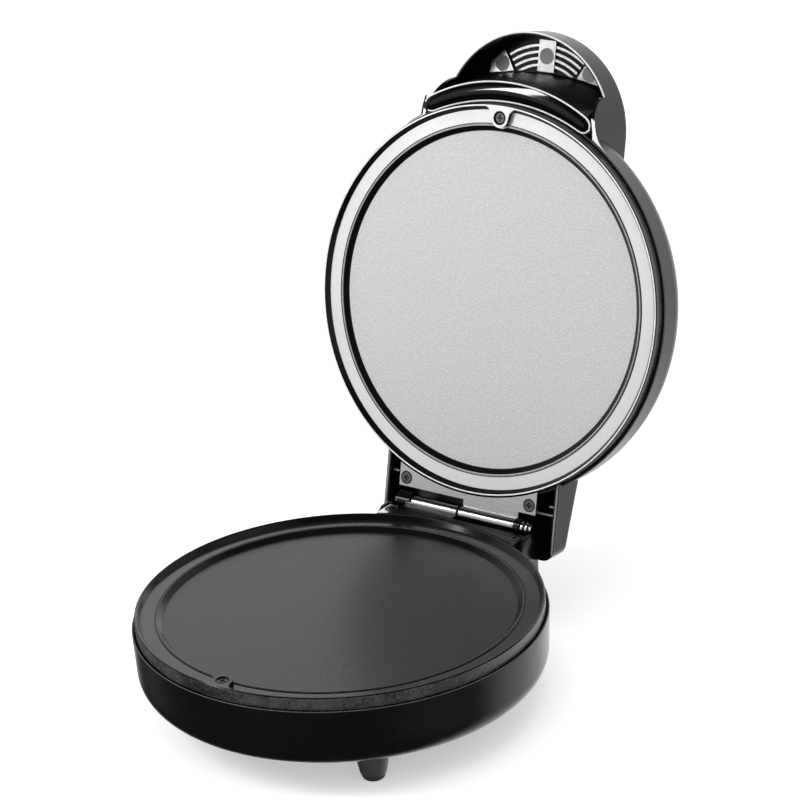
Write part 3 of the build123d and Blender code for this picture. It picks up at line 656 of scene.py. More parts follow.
@dataclass(frozen=True)
class ScrewHead(Finish):
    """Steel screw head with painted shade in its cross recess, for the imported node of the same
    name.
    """

    name: str
    body: Body
    colour: Colour = (0.2, 0.2, 0.205)
    stain: Colour = (0.1, 0.1, 0.105)
    recess_shade: Colour = (0.004, 0.004, 0.004)
    gloss: Span = (0.22, 0.36)
    slot: str = "screw_steel"
    rim: float = 0.1
    skin: Skin = Skin((2600.0, 500.0, 0.5), (0.35, 0.65), 0.00002, 0.25)

    def crown(self) -> float:
        """Finds the depth of the screws' highest point below the lip, in millimetres."""
        to_plan = FRAMES[self.body].matrix().inverted()
        return min((to_plan @ vert.co).z for vert in frame["nodes"][self.name].data.vertices) / MM

    def paint(self, wiring: Wiring, surface: bpy.types.Node) -> None:
        """Wires the head's turning marks and the painted shade in its recess.

        Args:
            wiring: The material's wiring.
            surface: The Principled shader.
        """
        place, plan = wiring.plan(self.body)
        mask, normal = wiring.skin(place, self.skin)
        top = self.crown() + self.rim
        # painted shade: the recess below the head's top is coloured near black
        shaded_recess = wiring.ramp(plan["Depth"], top, top + self.rim)
        head = wiring.blend(mask, self.stain, self.colour)
        wiring.apply(
            surface,
            Base_Color=wiring.blend(shaded_recess, head, self.recess_shade),
            Roughness=wiring.level(mask, self.gloss[1], self.gloss[0]),
            Metallic=wiring.flipped(shaded_recess),
            Normal=normal,
        )


@dataclass(frozen=True)
class RibTrim(Finish):
    """Black liner whose ribs and bars have their crests painted bright as a reflection."""

    name: str
    ground: Colour
    crest_reflection: Colour
    gloss: Span
    slot: str = "rib_trim"
    sheen: float = 0.2
    crest_depth: float = 41.1
    crest_blend: float = 0.25
    crest_shade: float = 0.86
    skin: Skin = Skin((1600.0, 120.0, 0.4), (0.3, 0.7), 0.00002, 0.3)

    def paint(self, wiring: Wiring, surface: bpy.types.Node) -> None:
        """Wires the painted reflection on the crests by depth and by which way the surface faces.

        Args:
            wiring: The material's wiring.
            surface: The Principled shader.
        """
        place, plan = wiring.plan(Body.LID)
        mask, normal = wiring.skin(place, self.skin)
        deep = wiring.ramp(plan["Depth"], self.crest_depth, self.crest_depth + self.crest_blend)
        # painted reflection: the raised faces get a bright metal colour where black gloss would
        # mirror a softbox
        raised = wiring.math("MULTIPLY", wiring.flipped(deep), plan["Face"])
        crest_reflection = wiring.blend(mask, shade(self.crest_reflection, self.crest_shade), self.crest_reflection)
        wiring.apply(
            surface,
            Base_Color=wiring.blend(raised, self.ground, crest_reflection),
            Roughness=wiring.level(mask, *self.gloss),
            Metallic=raised,
            Specular_IOR_Level=self.sheen,
            Normal=normal,
        )


@dataclass(frozen=True)
class SignalLens(Finish):
    """Clear coloured lens with faint mould flow."""

    name: str
    colour: Colour
    gloss: Span = (0.08, 0.18)
    clarity: float = 0.5
    slot: str = "signal_lens"
    grain: Grain = (700.0, 200.0, 0.7)
    grain_shade: float = 0.6

    def paint(self, wiring: Wiring, surface: bpy.types.Node) -> None:
        """Wires the lens's colour and clarity.

        Args:
            wiring: The material's wiring.
            surface: The Principled shader.
        """
        grain = wiring.grain(wiring.place(), *self.grain)
        wiring.apply(
            surface,
            Base_Color=wiring.blend(grain, shade(self.colour, self.grain_shade), self.colour),
            Roughness=wiring.level(grain, *self.gloss),
            Transmission_Weight=self.clarity,
        )


BLACK_SHELL = MouldedPlastic(
    "black_shell", (0.0042, 0.004, 0.0048), (0.01, 0.01, 0.011), (0.2, 0.3),
    skin_depth=0.000003, sheen=0.25,
)
LID_SHELL = replace(BLACK_SHELL, name="lid_shell", dull_from=101.6)
BLACK_GLOSS = MouldedPlastic(
    "black_gloss", (0.0025, 0.0025, 0.0027), (0.008, 0.008, 0.008), (0.07, 0.12),
    skin_depth=0.000002, sheen=0.25, slot="black_gloss",
)
BLACK_MIRROR = MouldedPlastic(
    "black_mirror", (0.0015, 0.0015, 0.0016), (0.004, 0.004, 0.004), (0.05, 0.08),
    skin_depth=0.000001, sheen=0.25, slot="black_gloss",
)
CAST_EDGE = MouldedPlastic(
    "cast_edge", (0.014, 0.014, 0.0145), (0.2, 0.2, 0.2), (0.2, 0.45),
    skin_scale=700.0, skin_depth=0.0003, sheen=0.6, mottle=6.0, slot="dark_plate",
)
# Light grey painted highlight on edges of black plastic: the crescent's outline, the visor's rim
# and the fairings' faces.
EDGE_HIGHLIGHT = MouldedPlastic(
    "bright_edge", (0.7, 0.7, 0.7), (0.8, 0.8, 0.8), (0.25, 0.4), slot="rib_trim"
)
DARK_EDGE = MouldedPlastic(
    "dark_edge", (0.03, 0.03, 0.031), (0.07, 0.07, 0.07), (0.2, 0.35), slot="dark_plate"
)
LIP_EDGE = MouldedPlastic(
    "lip_edge", (0.75, 0.75, 0.74), (0.85, 0.85, 0.85), (0.2, 0.35), slot="light_plate"
)
RIDGE_EDGE = MouldedPlastic(
    "ridge_edge", (0.3, 0.3, 0.295), (0.5, 0.5, 0.5), (0.25, 0.4), slot="light_plate"
)
# Grey painted highlight for the hood's small ribs and the front edges of its walls.
RIB_HIGHLIGHT = MouldedPlastic("grey_rib", (0.25, 0.25, 0.25), (0.4, 0.4, 0.4), (0.3, 0.45))
# Grey painted highlight on the black casing's top edge.
CASING_EDGE_HIGHLIGHT = MouldedPlastic("grey_edge", (0.07, 0.07, 0.072), (0.12, 0.12, 0.12), (0.3, 0.45))
GREY_FOOT = MouldedPlastic("grey_foot", (0.05, 0.05, 0.055), (0.12, 0.12, 0.125), (0.4, 0.55))
RUBBER_PAD = MouldedPlastic(
    "rubber_pad", (0.03, 0.03, 0.03), (0.07, 0.07, 0.07), (0.6, 0.8), 500.0, 0.00006
)
# Grey painted sheen on the handle's screw caps, standing in for matte black plastic that scatters
# a highlight.
CAP_PAINTED_SHEEN = MouldedPlastic(
    "cap_grey", (0.19, 0.19, 0.2), (0.3, 0.3, 0.3), (0.5, 0.65), 1800.0, 0.00006
)
CERAMIC = MouldedPlastic(
    "ceramic_block", (0.72, 0.69, 0.6), (0.8, 0.78, 0.7), (0.5, 0.7), 1400.0, 0.00004
)
# Each plate's wall colour is painted shade on its sloping walls.
DARK_PLATE = PlateCoat(
    "dark_plate", Body.BASE, disc=(0.012, 0.012, 0.013), disc_dark=(0.005, 0.005, 0.0055),
    channel=(0.012, 0.012, 0.013), lip=(0.03, 0.03, 0.031), wall=(0.004, 0.004, 0.0045),
    disc_gloss=(0.24, 0.36), channel_gloss=(0.14, 0.22), sheen=0.3, slot="dark_plate",
)
LIGHT_PLATE = PlateCoat(
    "light_plate", Body.LID, disc=(0.74, 0.73, 0.72), disc_dark=(0.5, 0.49, 0.48),
    channel=(0.86, 0.85, 0.84), lip=(0.82, 0.81, 0.8), wall=(0.004, 0.004, 0.004),
    disc_gloss=(0.4, 0.55), channel_gloss=(0.2, 0.28), disc_metal=0.2, channel_metal=0.6,
)
UPPER_LEAF = LeafSteel("upper_leaf", (0.8, 0.79, 0.78))
# The lower leaf carries a painted highlight on its left end.
LOWER_LEAF = LeafSteel("lower_leaf", (0.015, 0.015, 0.016), ear_highlight_reach=36.5)
BRIGHT_STEEL = TurnedSteel("bright_steel", (0.78, 0.78, 0.79), (0.6, 0.6, 0.61), (0.12, 0.22))
SCREW_STEEL = TurnedSteel("screw_steel", (0.2, 0.2, 0.205), (0.08, 0.08, 0.085), (0.25, 0.45))
SHEATH = TurnedSteel("element_sheath", (0.22, 0.2, 0.18), (0.1, 0.09, 0.085), (0.35, 0.55))
SHIELD_SHEET = TurnedSteel("shield_sheet", (0.75, 0.75, 0.75), (0.6, 0.6, 0.6), (0.3, 0.42))
# The liner's crest colour is a painted reflection.
RIB_TRIM = RibTrim("rib_trim", (0.003, 0.003, 0.003), (0.66, 0.66, 0.66), (0.14, 0.22))
SIGNAL_LENS = SignalLens("signal_lens", (0.6, 0.05, 0.03))
DARK_SCREW: tuple[Colour, Colour] = ((0.06, 0.06, 0.06), (0.02, 0.02, 0.02))
SCREW_HEADS = (
    ScrewHead("lid_plate_screw", Body.LID),
    ScrewHead("upper_leaf_screws", Body.LID),
    ScrewHead("base_plate_screw", Body.BASE, *DARK_SCREW),
    ScrewHead("lower_leaf_screws", Body.BASE, *DARK_SCREW),
)

NODE_FINISHES: dict[Finish, tuple[str, ...]] = {
    BLACK_SHELL: ("base_casing", "handle_cover"),
    LID_SHELL: ("lid_casing",),
    BLACK_GLOSS: ("hinge_collars",),
    GREY_FOOT: ("base_feet",),
    RUBBER_PAD: ("foot_pads", "cord_gland"),
    CAP_PAINTED_SHEEN: ("handle_screw_caps",),
    CERAMIC: (
        "base_thermostat", "lid_thermostat", "thermal_fuse", "terminal_block", "signal_lamps",
    ),
    DARK_PLATE: ("base_plate",),
    LIGHT_PLATE: ("lid_plate",),
    UPPER_LEAF: ("upper_hinge_leaf",),
    LOWER_LEAF: ("lower_hinge_leaf",),
    BRIGHT_STEEL: ("hinge_pin", "hinge_clips"),
    **{head: (head.name,) for head in SCREW_HEADS},
    SCREW_STEEL: ("base_shield_screws", "lid_shield_screws"),
    SHEATH: ("base_heating_element", "lid_heating_element"),
    SHIELD_SHEET: ("base_heat_shield", "lid_heat_shield", "fuse_strap"),
    RIB_TRIM: ("handle_liner",),
    SIGNAL_LENS: ("signal_lenses",),
}


def dress(piece: bpy.types.Object, finish: Finish) -> None:
    """Gives a piece one finish."""
    piece.data.materials.clear()
    piece.data.materials.append(finish.material())


def dress_cad_nodes() -> None:
    """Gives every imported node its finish."""
    for finish, names in NODE_FINISHES.items():
        for name in names:
            dress(frame["nodes"][name], finish)
            log.info("dressed %s in %s", name, finish.name)


def put(name: str, data: bpy.types.ID) -> bpy.types.Object:
    """Adds an object to the scene.

    Args:
        name: Its name.
        data: Its mesh, lamp or camera.

    Returns:
        The object.
    """
    made = bpy.data.objects.new(name, data)
    bpy.context.scene.collection.objects.link(made)
    return made


def shaped(
    name: str, shape: Shape, finish: Finish, body: Body, recalculate: bool = True
) -> bpy.types.Object:
    """Turns a shape into a finished piece that rides on a body.

    Args:
        name: The piece's name.
        shape: The shape, in the shared frame and in metres.
        finish: Its finish.
        body: The body that carries it.
        recalculate: Whether its faces are turned outwards first.

    Returns:
        The piece.
    """
    if recalculate:
        bmesh.ops.recalc_face_normals(shape, faces=shape.faces)
    mesh = bpy.data.meshes.new(name)
    shape.to_mesh(mesh)
    shape.free()
    mesh.shade_smooth()
    mesh.set_sharp_from_angle(angle=radians(SHARP_ANGLE))
    piece = put(name, mesh)
    dress(piece, finish)
    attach(piece, body.value)
    log.info("built %s on the %s", name, body.value)
    return piece


def swept(
    path: list[Vector], radius: float, sides: int = 10, closed: bool = False, merge: float = 1e-6
) -> Shape:
    """Sweeps a round section along a path.

    Args:
        path: Points of the path, in metres.
        radius: Radius of the section, in millimetres.
        sides: Sides of the section.
        closed: Whether the path ends where it starts.
        merge: How near the ends of a closed path are to be joined, in metres.

    Returns:
        The swept shape.
    """
    shape = bmesh.new()
    heading = (path[1] - (path[-2] if closed else path[0])).normalized()
    turn = heading.to_track_quat("Z", "Y").to_matrix().to_4x4()
    ring = bmesh.ops.create_circle(
        shape, segments=sides, radius=radius * MM, matrix=Matrix.Translation(path[0]) @ turn
    )["verts"]
    edges = list({edge for vert in ring for edge in vert.link_edges})
    for here, there, beyond in zip(path, path[1:], path[2:] + [path[1] if closed else path[-1]]):
        grown = bmesh.ops.extrude_edge_only(shape, edges=edges)["geom"]
        ring = [item for item in grown if isinstance(item, bmesh.types.BMVert)]
        edges = [item for item in grown if isinstance(item, bmesh.types.BMEdge)]
        ahead = (beyond - here).normalized()
        bend = heading.rotation_difference(ahead).to_matrix()
        bmesh.ops.rotate(shape, verts=ring, cent=here, matrix=bend)
        bmesh.ops.translate(shape, verts=ring, vec=there - here)
        heading = ahead
    if closed:
        bmesh.ops.remove_doubles(shape, verts=shape.verts, dist=merge)
    else:
        bmesh.ops.holes_fill(shape, edges=shape.edges, sides=sides)
    return shape


def spun(section: list[Vector], centre: Vector, axis: Vector, sweep: float, steps: int) -> Shape:
    """Spins a closed section about an axis.

    Args:
        section: Corners of the section, in metres.
        centre: A point of the axis.
        axis: The axis's direction.
        sweep: How far it turns, in degrees.
        steps: How many straight steps stand for the turn.

    Returns:
        The spun shape, with its ends closed where it has ends.
    """
    shape = bmesh.new()
    corners = [shape.verts.new(point) for point in section]
    edges = [shape.edges.new((corners[step - 1], corners[step])) for step in range(len(corners))]
    full = sweep == FULL_TURN
    bmesh.ops.spin(
        shape, geom=corners + edges, cent=centre, axis=axis, angle=radians(sweep), steps=steps,
        use_merge=full,
    )
    if not full:
        bmesh.ops.holes_fill(shape, edges=shape.edges, sides=len(corners))
    return shape


def arc(
    body: Body, centre: Spot, radius: float, depth: float, steps: int,
    start: float = 0.0, sweep: float = FULL_TURN,
) -> list[Vector]:
    """Gives points along an arc in a body's plan.

    Args:
        body: The body whose plan it lies in.
        centre: Centre of the arc.
        radius: Radius, in millimetres.
        depth: Depth below the lip, in millimetres.
        steps: How many straight steps stand for it.
        start: Where it starts, in degrees from the body's x.
        sweep: How far it turns, in degrees.

    Returns:
        The points in the shared frame, in metres.
    """
    points = []
    for step in range(steps + 1):
        angle = radians(start + sweep * step / steps)
        x, y = centre[0] + radius * cos(angle), centre[1] + radius * sin(angle)
        points.append(FRAMES[body].point(x, y, depth))
    return points


@dataclass(frozen=True)
class PlateTrim:
    """Crisp edges of one cooking plate and of the casing round it, with a painted shade line
    beside the ridge and a painted highlight on the casing's edge.
    """

    body: Body
    edge: Finish
    ridge_edge: Finish
    rim_depth: float
    ridge_radius: float = 89.15
    ridge_depth: float = 2.6
    ridge_size: float = 0.4
    lip_radius: float = 99.05
    lip_depth: float = 0.25
    lip_size: float = 0.4
    casing_radius: float = 101.1
    casing_size: float = 0.3
    # a black bead that paints a shade line on the channel side of the ridge
    shade_line_radius: float = 89.95
    shade_line_size: float = 0.24
    wall_radius: float = 99.76
    wall_thickness: float = 0.9
    wall_top: float = 0.5
    wall_gap: float = 0.35
    steps: int = 240

    def build(self) -> None:
        """Makes the cast wall, the ridge with a painted shade line beside it, the lip's crest and
        the casing's edge with a painted highlight.
        """
        self.build_wall()
        rings = (
            # the first ring is a painted shade line and the last a painted highlight on the
            # casing's edge
            ("ridge_crease", self.shade_line_radius, self.ridge_depth, self.shade_line_size, BLACK_GLOSS),
            ("ridge", self.ridge_radius, self.ridge_depth, self.ridge_size, self.ridge_edge),
            ("lip", self.lip_radius, self.lip_depth, self.lip_size, self.edge),
            ("casing_edge", self.casing_radius, self.rim_depth, self.casing_size, CASING_EDGE_HIGHLIGHT),
        )
        for name, radius, depth, size, finish in rings:
            shape = swept(arc(self.body, (0, 0), radius, depth, self.steps), size, closed=True)
            shaped(f"{self.body.value}_{name}", shape, finish, self.body)

    def build_wall(self) -> None:
        """Spins the cast wall between the lip and the casing."""
        place = FRAMES[self.body]
        outer = self.wall_radius
        inner = outer - self.wall_thickness
        top = self.wall_top
        bottom = self.rim_depth - self.wall_gap
        corners = ((inner, top), (outer, top), (outer, bottom), (inner, bottom))
        section = [place.point(radius, 0, depth) for radius, depth in corners]
        shape = spun(section, place.origin, place.inward, FULL_TURN, self.steps)
        shaped(f"{self.body.value}_cast_wall", shape, CAST_EDGE, self.body)


@dataclass(frozen=True)
class Crescent:
    """Polished crescent in front of the lid, with a fine raised outline that carries a painted
    highlight.
    """

    inner_radius: float = 101.1
    outer_radius: float = 94.0
    outer_centre: float = -16.8
    half_angle: float = 27.6
    tip_share: float = 0.9
    face_depth: float = 6.0
    rise: float = 1.3
    edge_sink: float = 0.1
    outline: float = 0.42
    outline_rise: float = 0.1
    across: int = 12
    along: int = 96

    def reach(self, angle: float) -> float:
        """Gives the crescent's outer radius at an angle from the middle, in radians."""
        toward = -self.outer_centre * cos(angle)
        return toward + (toward ** 2 - self.outer_centre ** 2 + self.outer_radius ** 2) ** 0.5

    def point(self, along: float, across: float, rise: float) -> Vector:
        """Places a point of the crescent.

        Args:
            along: From -1 at the left tip to 1 at the right one.
            across: From 0 at the plate to 1 at the outer edge.
            rise: Height above the face, in millimetres.

        Returns:
            The point in the shared frame, in metres.
        """
        over = max(0.0, abs(along) - self.tip_share) / (1 - self.tip_share)
        width = (1 - min(1.0, over) ** 2) ** 0.5
        angle = radians(self.half_angle * along)
        share = 0.5 + (across - 0.5) * width
        radius = self.inner_radius + (self.reach(angle) - self.inner_radius) * share
        depth = self.face_depth - rise * width
        return FRAMES[Body.LID].point(radius * sin(angle), -radius * cos(angle), depth)

    def build(self) -> None:
        """Makes the domed face and its outline with the painted highlight."""
        dome = bmesh.new()
        bmesh.ops.create_grid(dome, x_segments=self.along, y_segments=self.across, size=1.0)
        for vert in dome.verts:
            along, y, _ = vert.co
            vert.co = self.point(along, (y + 1) / 2, self.rise * (1 - y ** 2) - self.edge_sink)
        shaped("crescent_face", dome, BLACK_MIRROR, Body.LID)
        steps, rise = self.along, self.outline_rise
        outer = [self.point(2 * step / steps - 1, 1.0, rise) for step in range(1, steps)]
        inner = [self.point(1 - 2 * step / steps, 0.0, rise) for step in range(steps)]
        # the raised outline carries a painted highlight
        shaped("crescent_outline", swept(outer + inner, self.outline), EDGE_HIGHLIGHT, Body.LID)


@dataclass(frozen=True)
class VisorFairing:
    """Fairing between the arched handle's foot and the lid's drum, with a painted highlight on its
    front face.
    """

    side: Side
    top: Spot = (49.2, -98.8)
    shoulder: Spot = (51.2, -97.6)
    waist: Spot = (52.4, -87.4)
    drum_end: Spot = (59.2, -83.2)
    drum_start: Spot = (50.9, -88.6)
    inner: Spot = (50.6, -92.5)
    face_depth: float = 5.9
    face_thickness: float = 0.4
    back_depth: float = 7.6
    steps: int = 14

    def outline(self) -> list[Spot]:
        """Gives the fairing's plan, with its hollow flank as a curve.

        Returns:
            The plan's corners, for the right side.
        """
        plan = [self.top]
        corners = (self.shoulder, self.waist, self.drum_end)
        for step in range(self.steps + 1):
            share = step / self.steps
            weights = ((1 - share) ** 2, 2 * share * (1 - share), share ** 2)
            plan.append(tuple(
                sum(w * corner[axis] for w, corner in zip(weights, corners)) for axis in (0, 1)
            ))
        return plan + [self.drum_start, self.inner]

    def slab(self, front: float, back: float) -> Shape:
        """Makes a slab of the plan between two depths.

        Args:
            front: Depth of its front, in millimetres.
            back: Depth of its back, in millimetres.

        Returns:
            The slab.
        """
        shape = bmesh.new()
        place = FRAMES[Body.LID]
        flip = self.side.value
        corners = [shape.verts.new(place.point(flip * x, y, front)) for x, y in self.outline()]
        grown = bmesh.ops.extrude_face_region(shape, geom=[shape.faces.new(corners)])["geom"]
        moved = [item for item in grown if isinstance(item, bmesh.types.BMVert)]
        bmesh.ops.translate(shape, verts=moved, vec=place.inward * (back - front) * MM)
        return shape

    def build(self) -> None:
        """Makes the face with its painted highlight and the black body behind it."""
        name = f"fairing_{self.side.name.lower()}"
        bottom = self.face_depth + self.face_thickness
        # the front face is a painted highlight
        shaped(f"{name}_face", self.slab(self.face_depth, bottom), EDGE_HIGHLIGHT, Body.LID)
        shaped(f"{name}_body", self.slab(bottom, self.back_depth), BLACK_SHELL, Body.LID)


@dataclass(frozen=True)
class VisorRim:
    """Edge round the mouth of the arched handle, with a painted highlight."""

    centre: Spot = (0, -86.0)
    radius: float = 49.5
    depth: float = 25.4
    half_angle: float = 63.5
    section: float = 0.45
    steps: int = 64

    def build(self) -> None:
        """Makes the edge as one bead along the flat part of the mouth."""
        path = arc(
            Body.LID, self.centre, self.radius, self.depth, self.steps,
            start=-90 - self.half_angle, sweep=2 * self.half_angle,
        )
        # the rim bead carries a painted highlight
        shaped("visor_rim", swept(path, self.section), EDGE_HIGHLIGHT, Body.LID)


@dataclass(frozen=True)
class ScrewSurround:
    """Dark ring round a screw head."""

    name: str
    body: Body
    place: Spot
    depth: float = 0.32
    radius: float = 3.1
    section: float = 0.44
    steps: int = 40

    def build(self) -> None:
        """Makes the ring."""
        path = arc(self.body, self.place, self.radius, self.depth, self.steps)
        shaped(self.name, swept(path, self.section, closed=True), BLACK_GLOSS, self.body)


@dataclass(frozen=True)
class HingeCap:
    """Curved black cap over the left collar of the hinge."""

    left: float = -39.8
    right: float = -31.5
    radius: float = 5.3
    wall: float = 0.7
    start: float = 20.0
    sweep: float = 170.0
    steps: int = 28

    def build(self) -> None:
        """Spins the cap's section about the pin."""
        turn = radians(self.start)
        left, right, outer = self.left, self.right, self.radius
        inner = outer - self.wall
        section = [
            HINGE + Vector((x, -reach * cos(turn), reach * sin(turn))) * MM
            for x, reach in ((left, outer), (right, outer), (right, inner), (left, inner))
        ]
        shape = spun(section, HINGE, Vector((-1, 0, 0)), self.sweep, self.steps)
        shaped("hinge_cap", shape, BLACK_GLOSS, Body.BASE)


@dataclass(frozen=True)
class HoodRib:
    """Small rib inside the hood's side wall, painted pale as a highlight."""

    name: str
    wall_x: float
    tip_x: float
    y: float
    depth: float
    half_width: float = 0.5
    half_height: float = 0.45
    rounding: float = 0.25
    segments: int = 3

    def build(self) -> None:
        """Makes the rib as a bar with rounded edges."""
        spot = Vector(((self.wall_x + self.tip_x) / 2, self.y, self.depth))
        sizes = (abs(self.wall_x - self.tip_x), 2 * self.half_width, 2 * self.half_height)
        scale = Matrix.Diagonal((*(size * MM for size in sizes), 1.0))
        matrix = FRAMES[Body.LID].matrix() @ Matrix.Translation(spot * MM) @ scale
        shape = bmesh.new()
        bmesh.ops.create_cube(shape, size=1.0, matrix=matrix)
        bmesh.ops.bevel(
            shape, geom=list(shape.edges), offset=self.rounding * MM, affect="EDGES",
            segments=self.segments, profile=0.5, material=-1,
        )
        # the rib's pale colour is a painted highlight
        shaped(self.name, shape, RIB_HIGHLIGHT, Body.LID)


@dataclass(frozen=True)
class HoodEdge:
    """Front edge of one of the hood's side walls, as a bead with a painted highlight."""

    side: Side
    x: float = 51.3
    front_y: float = 86.0
    rear_y: float = 122.6
    depth: float = 3.35
    section: float = 0.5
    steps: int = 12

    def build(self) -> None:
        """Makes the edge as a straight bead."""
        x = self.x * self.side.value
        rise = self.rear_y - self.front_y
        path = [
            FRAMES[Body.LID].point(x, self.front_y + rise * step / self.steps, self.depth)
            for step in range(self.steps + 1)
        ]
        name = f"hood_edge_{self.side.name.lower()}"
        # the bead's light colour is a painted highlight
        shaped(name, swept(path, self.section), RIB_HIGHLIGHT, Body.LID)


@dataclass(frozen=True)
class BaseShell:
    """Base casing as it is seen, with the foot of its front post flush with the round corner."""

    radius: float = 100.7
    floor: float = 38.0
    corner: float = 12.0
    reach: float = 6.0
    merge: float = 1e-7

    def build(self) -> None:
        """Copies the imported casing, merges it and draws the post's foot back to the corner."""
        shape = bmesh.new()
        shape.from_mesh(frame["nodes"]["base_casing"].data)
        bmesh.ops.remove_doubles(shape, verts=shape.verts, dist=self.merge)
        place = FRAMES[Body.BASE]
        to_plan = place.matrix().inverted()
        round_radius = self.radius - self.corner
        round_depth = self.floor - self.corner
        for vert in shape.verts:
            x, y, depth = (to_plan @ vert.co) / MM
            across = hypot(x, y) - round_radius
            down = depth - round_depth
            outside = min(across, down) > 0 and hypot(across, down) > self.corner
            if outside and abs(x) < self.reach and y < 0:
                draw = self.corner / hypot(across, down)
                turn = (round_radius + across * draw) / hypot(x, y)
                vert.co = place.point(x * turn, y * turn, round_depth + down * draw)
        piece = shaped("base_shell", shape, BLACK_SHELL, Body.BASE, recalculate=False)
        weighted = piece.modifiers.new("even_shading", "WEIGHTED_NORMAL")
        weighted.keep_sharp = True
        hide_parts("base_casing")


@dataclass(frozen=True)
class Trim:
    """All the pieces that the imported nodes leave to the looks, with the places of the screws."""

    lug_screw: Spot = (0.0, -93.2)
    leaf_screw: Spot = (37.5, 98.9)

    def build(self) -> None:
        """Makes the pieces in order."""
        BaseShell().build()
        for side in (Side.RIGHT, Side.LEFT):
            HoodEdge(side).build()
        HoodRib("hood_rib_right_upper", wall_x=50.0, tip_x=45.6, y=98.9, depth=6.8).build()
        HoodRib("hood_rib_right_lower", wall_x=50.0, tip_x=38.5, y=103.2, depth=6.5).build()
        HoodRib("hood_rib_left", wall_x=-50.0, tip_x=-46.5, y=97.9, depth=6.8).build()
        PlateTrim(Body.BASE, DARK_EDGE, DARK_EDGE, rim_depth=6.5).build()
        PlateTrim(Body.LID, LIP_EDGE, RIDGE_EDGE, rim_depth=6.0).build()
        Crescent().build()
        VisorRim().build()
        for side in (Side.RIGHT, Side.LEFT):
            VisorFairing(side).build()
        HingeCap().build()
        x, y = self.leaf_screw
        for body in Body:
            ScrewSurround(f"{body.value}_plate_screw_ring", body, self.lug_screw).build()
            for side in Side:
                name = f"{body.value}_leaf_screw_ring_{side.name.lower()}"
                ScrewSurround(name, body, (x * side.value, y)).build()


@dataclass(frozen=True)
class PhotoCamera:
    """Camera at the photograph's viewing angle, worked out from the plates' circles."""

    azimuth: float = 35.62
    elevation: float = 22.48
    distance: float = 1399.2
    focal_pixels: float = 2885.5
    frame_pixels: float = 800.0
    roll: float = -3.28
    aim_right: float = 34.71
    aim_up: float = 95.0
    sensor: float = 36.0
    clip_start: float = 0.05

    def build(self) -> None:
        """Makes the camera and sets it as the scene's camera."""
        az = radians(self.azimuth)
        el = radians(self.elevation)
        outward = Vector((sin(az) * cos(el), -cos(az) * cos(el), sin(el)))
        right = (-outward).cross(Vector((0, 0, 1))).normalized()
        up = right.cross(-outward)
        lip = FRAMES[Body.BASE].origin
        place = lip + (outward * self.distance + right * self.aim_right + up * self.aim_up) * MM
        turn = radians(self.roll)
        image_right = right * cos(turn) + up * sin(turn)
        image_up = up * cos(turn) - right * sin(turn)
        matrix = Matrix((image_right, image_up, outward)).transposed().to_4x4()
        data = bpy.data.cameras.new("photo_camera")
        data.sensor_width = self.sensor
        data.sensor_fit = "HORIZONTAL"
        data.lens = self.focal_pixels / self.frame_pixels * self.sensor
        data.clip_start = self.clip_start
        camera = put("photo_camera", data)
        camera.matrix_world = Matrix.Translation(place) @ matrix
        bpy.context.scene.camera = camera


@dataclass(frozen=True)
class Softbox:
    """A rectangular lamp that faces a point of the object, and lights some pieces or all."""

    name: str
    place: Place
    target: Place
    size: tuple[float, float]
    power: float
    mirrored: bool = False
    only: tuple[str, ...] = ()
    without: tuple[str, ...] = ()

    def build(self) -> None:
        """Makes the lamp, and keeps it to or off some pieces where these are named."""
        data = bpy.data.lights.new(self.name, "AREA")
        data.shape = "RECTANGLE"
        data.size, data.size_y = self.size
        data.energy = self.power
        lamp = put(self.name, data)
        lamp.location = self.place
        aim = Vector(self.target) - Vector(self.place)
        lamp.rotation_euler = aim.to_track_quat("-Z", "Y").to_euler()
        lamp.visible_glossy = self.mirrored
        lamp.visible_diffuse = not self.mirrored
        if self.only or self.without:
            named = bpy.data.collections.new(f"{self.name}_pieces")
            for name in self.only + self.without:
                named.objects.link(bpy.data.objects[name])
            for row in named.collection_objects:
                row.light_linking.link_state = "INCLUDE" if self.only else "EXCLUDE"
            lamp.light_linking.receiver_collection = named


@dataclass(frozen=True)
class Panel:
    """A soft bright patch of the surroundings that only reflections show."""

    towards: Place
    inner: float
    outer: float
    strength: float


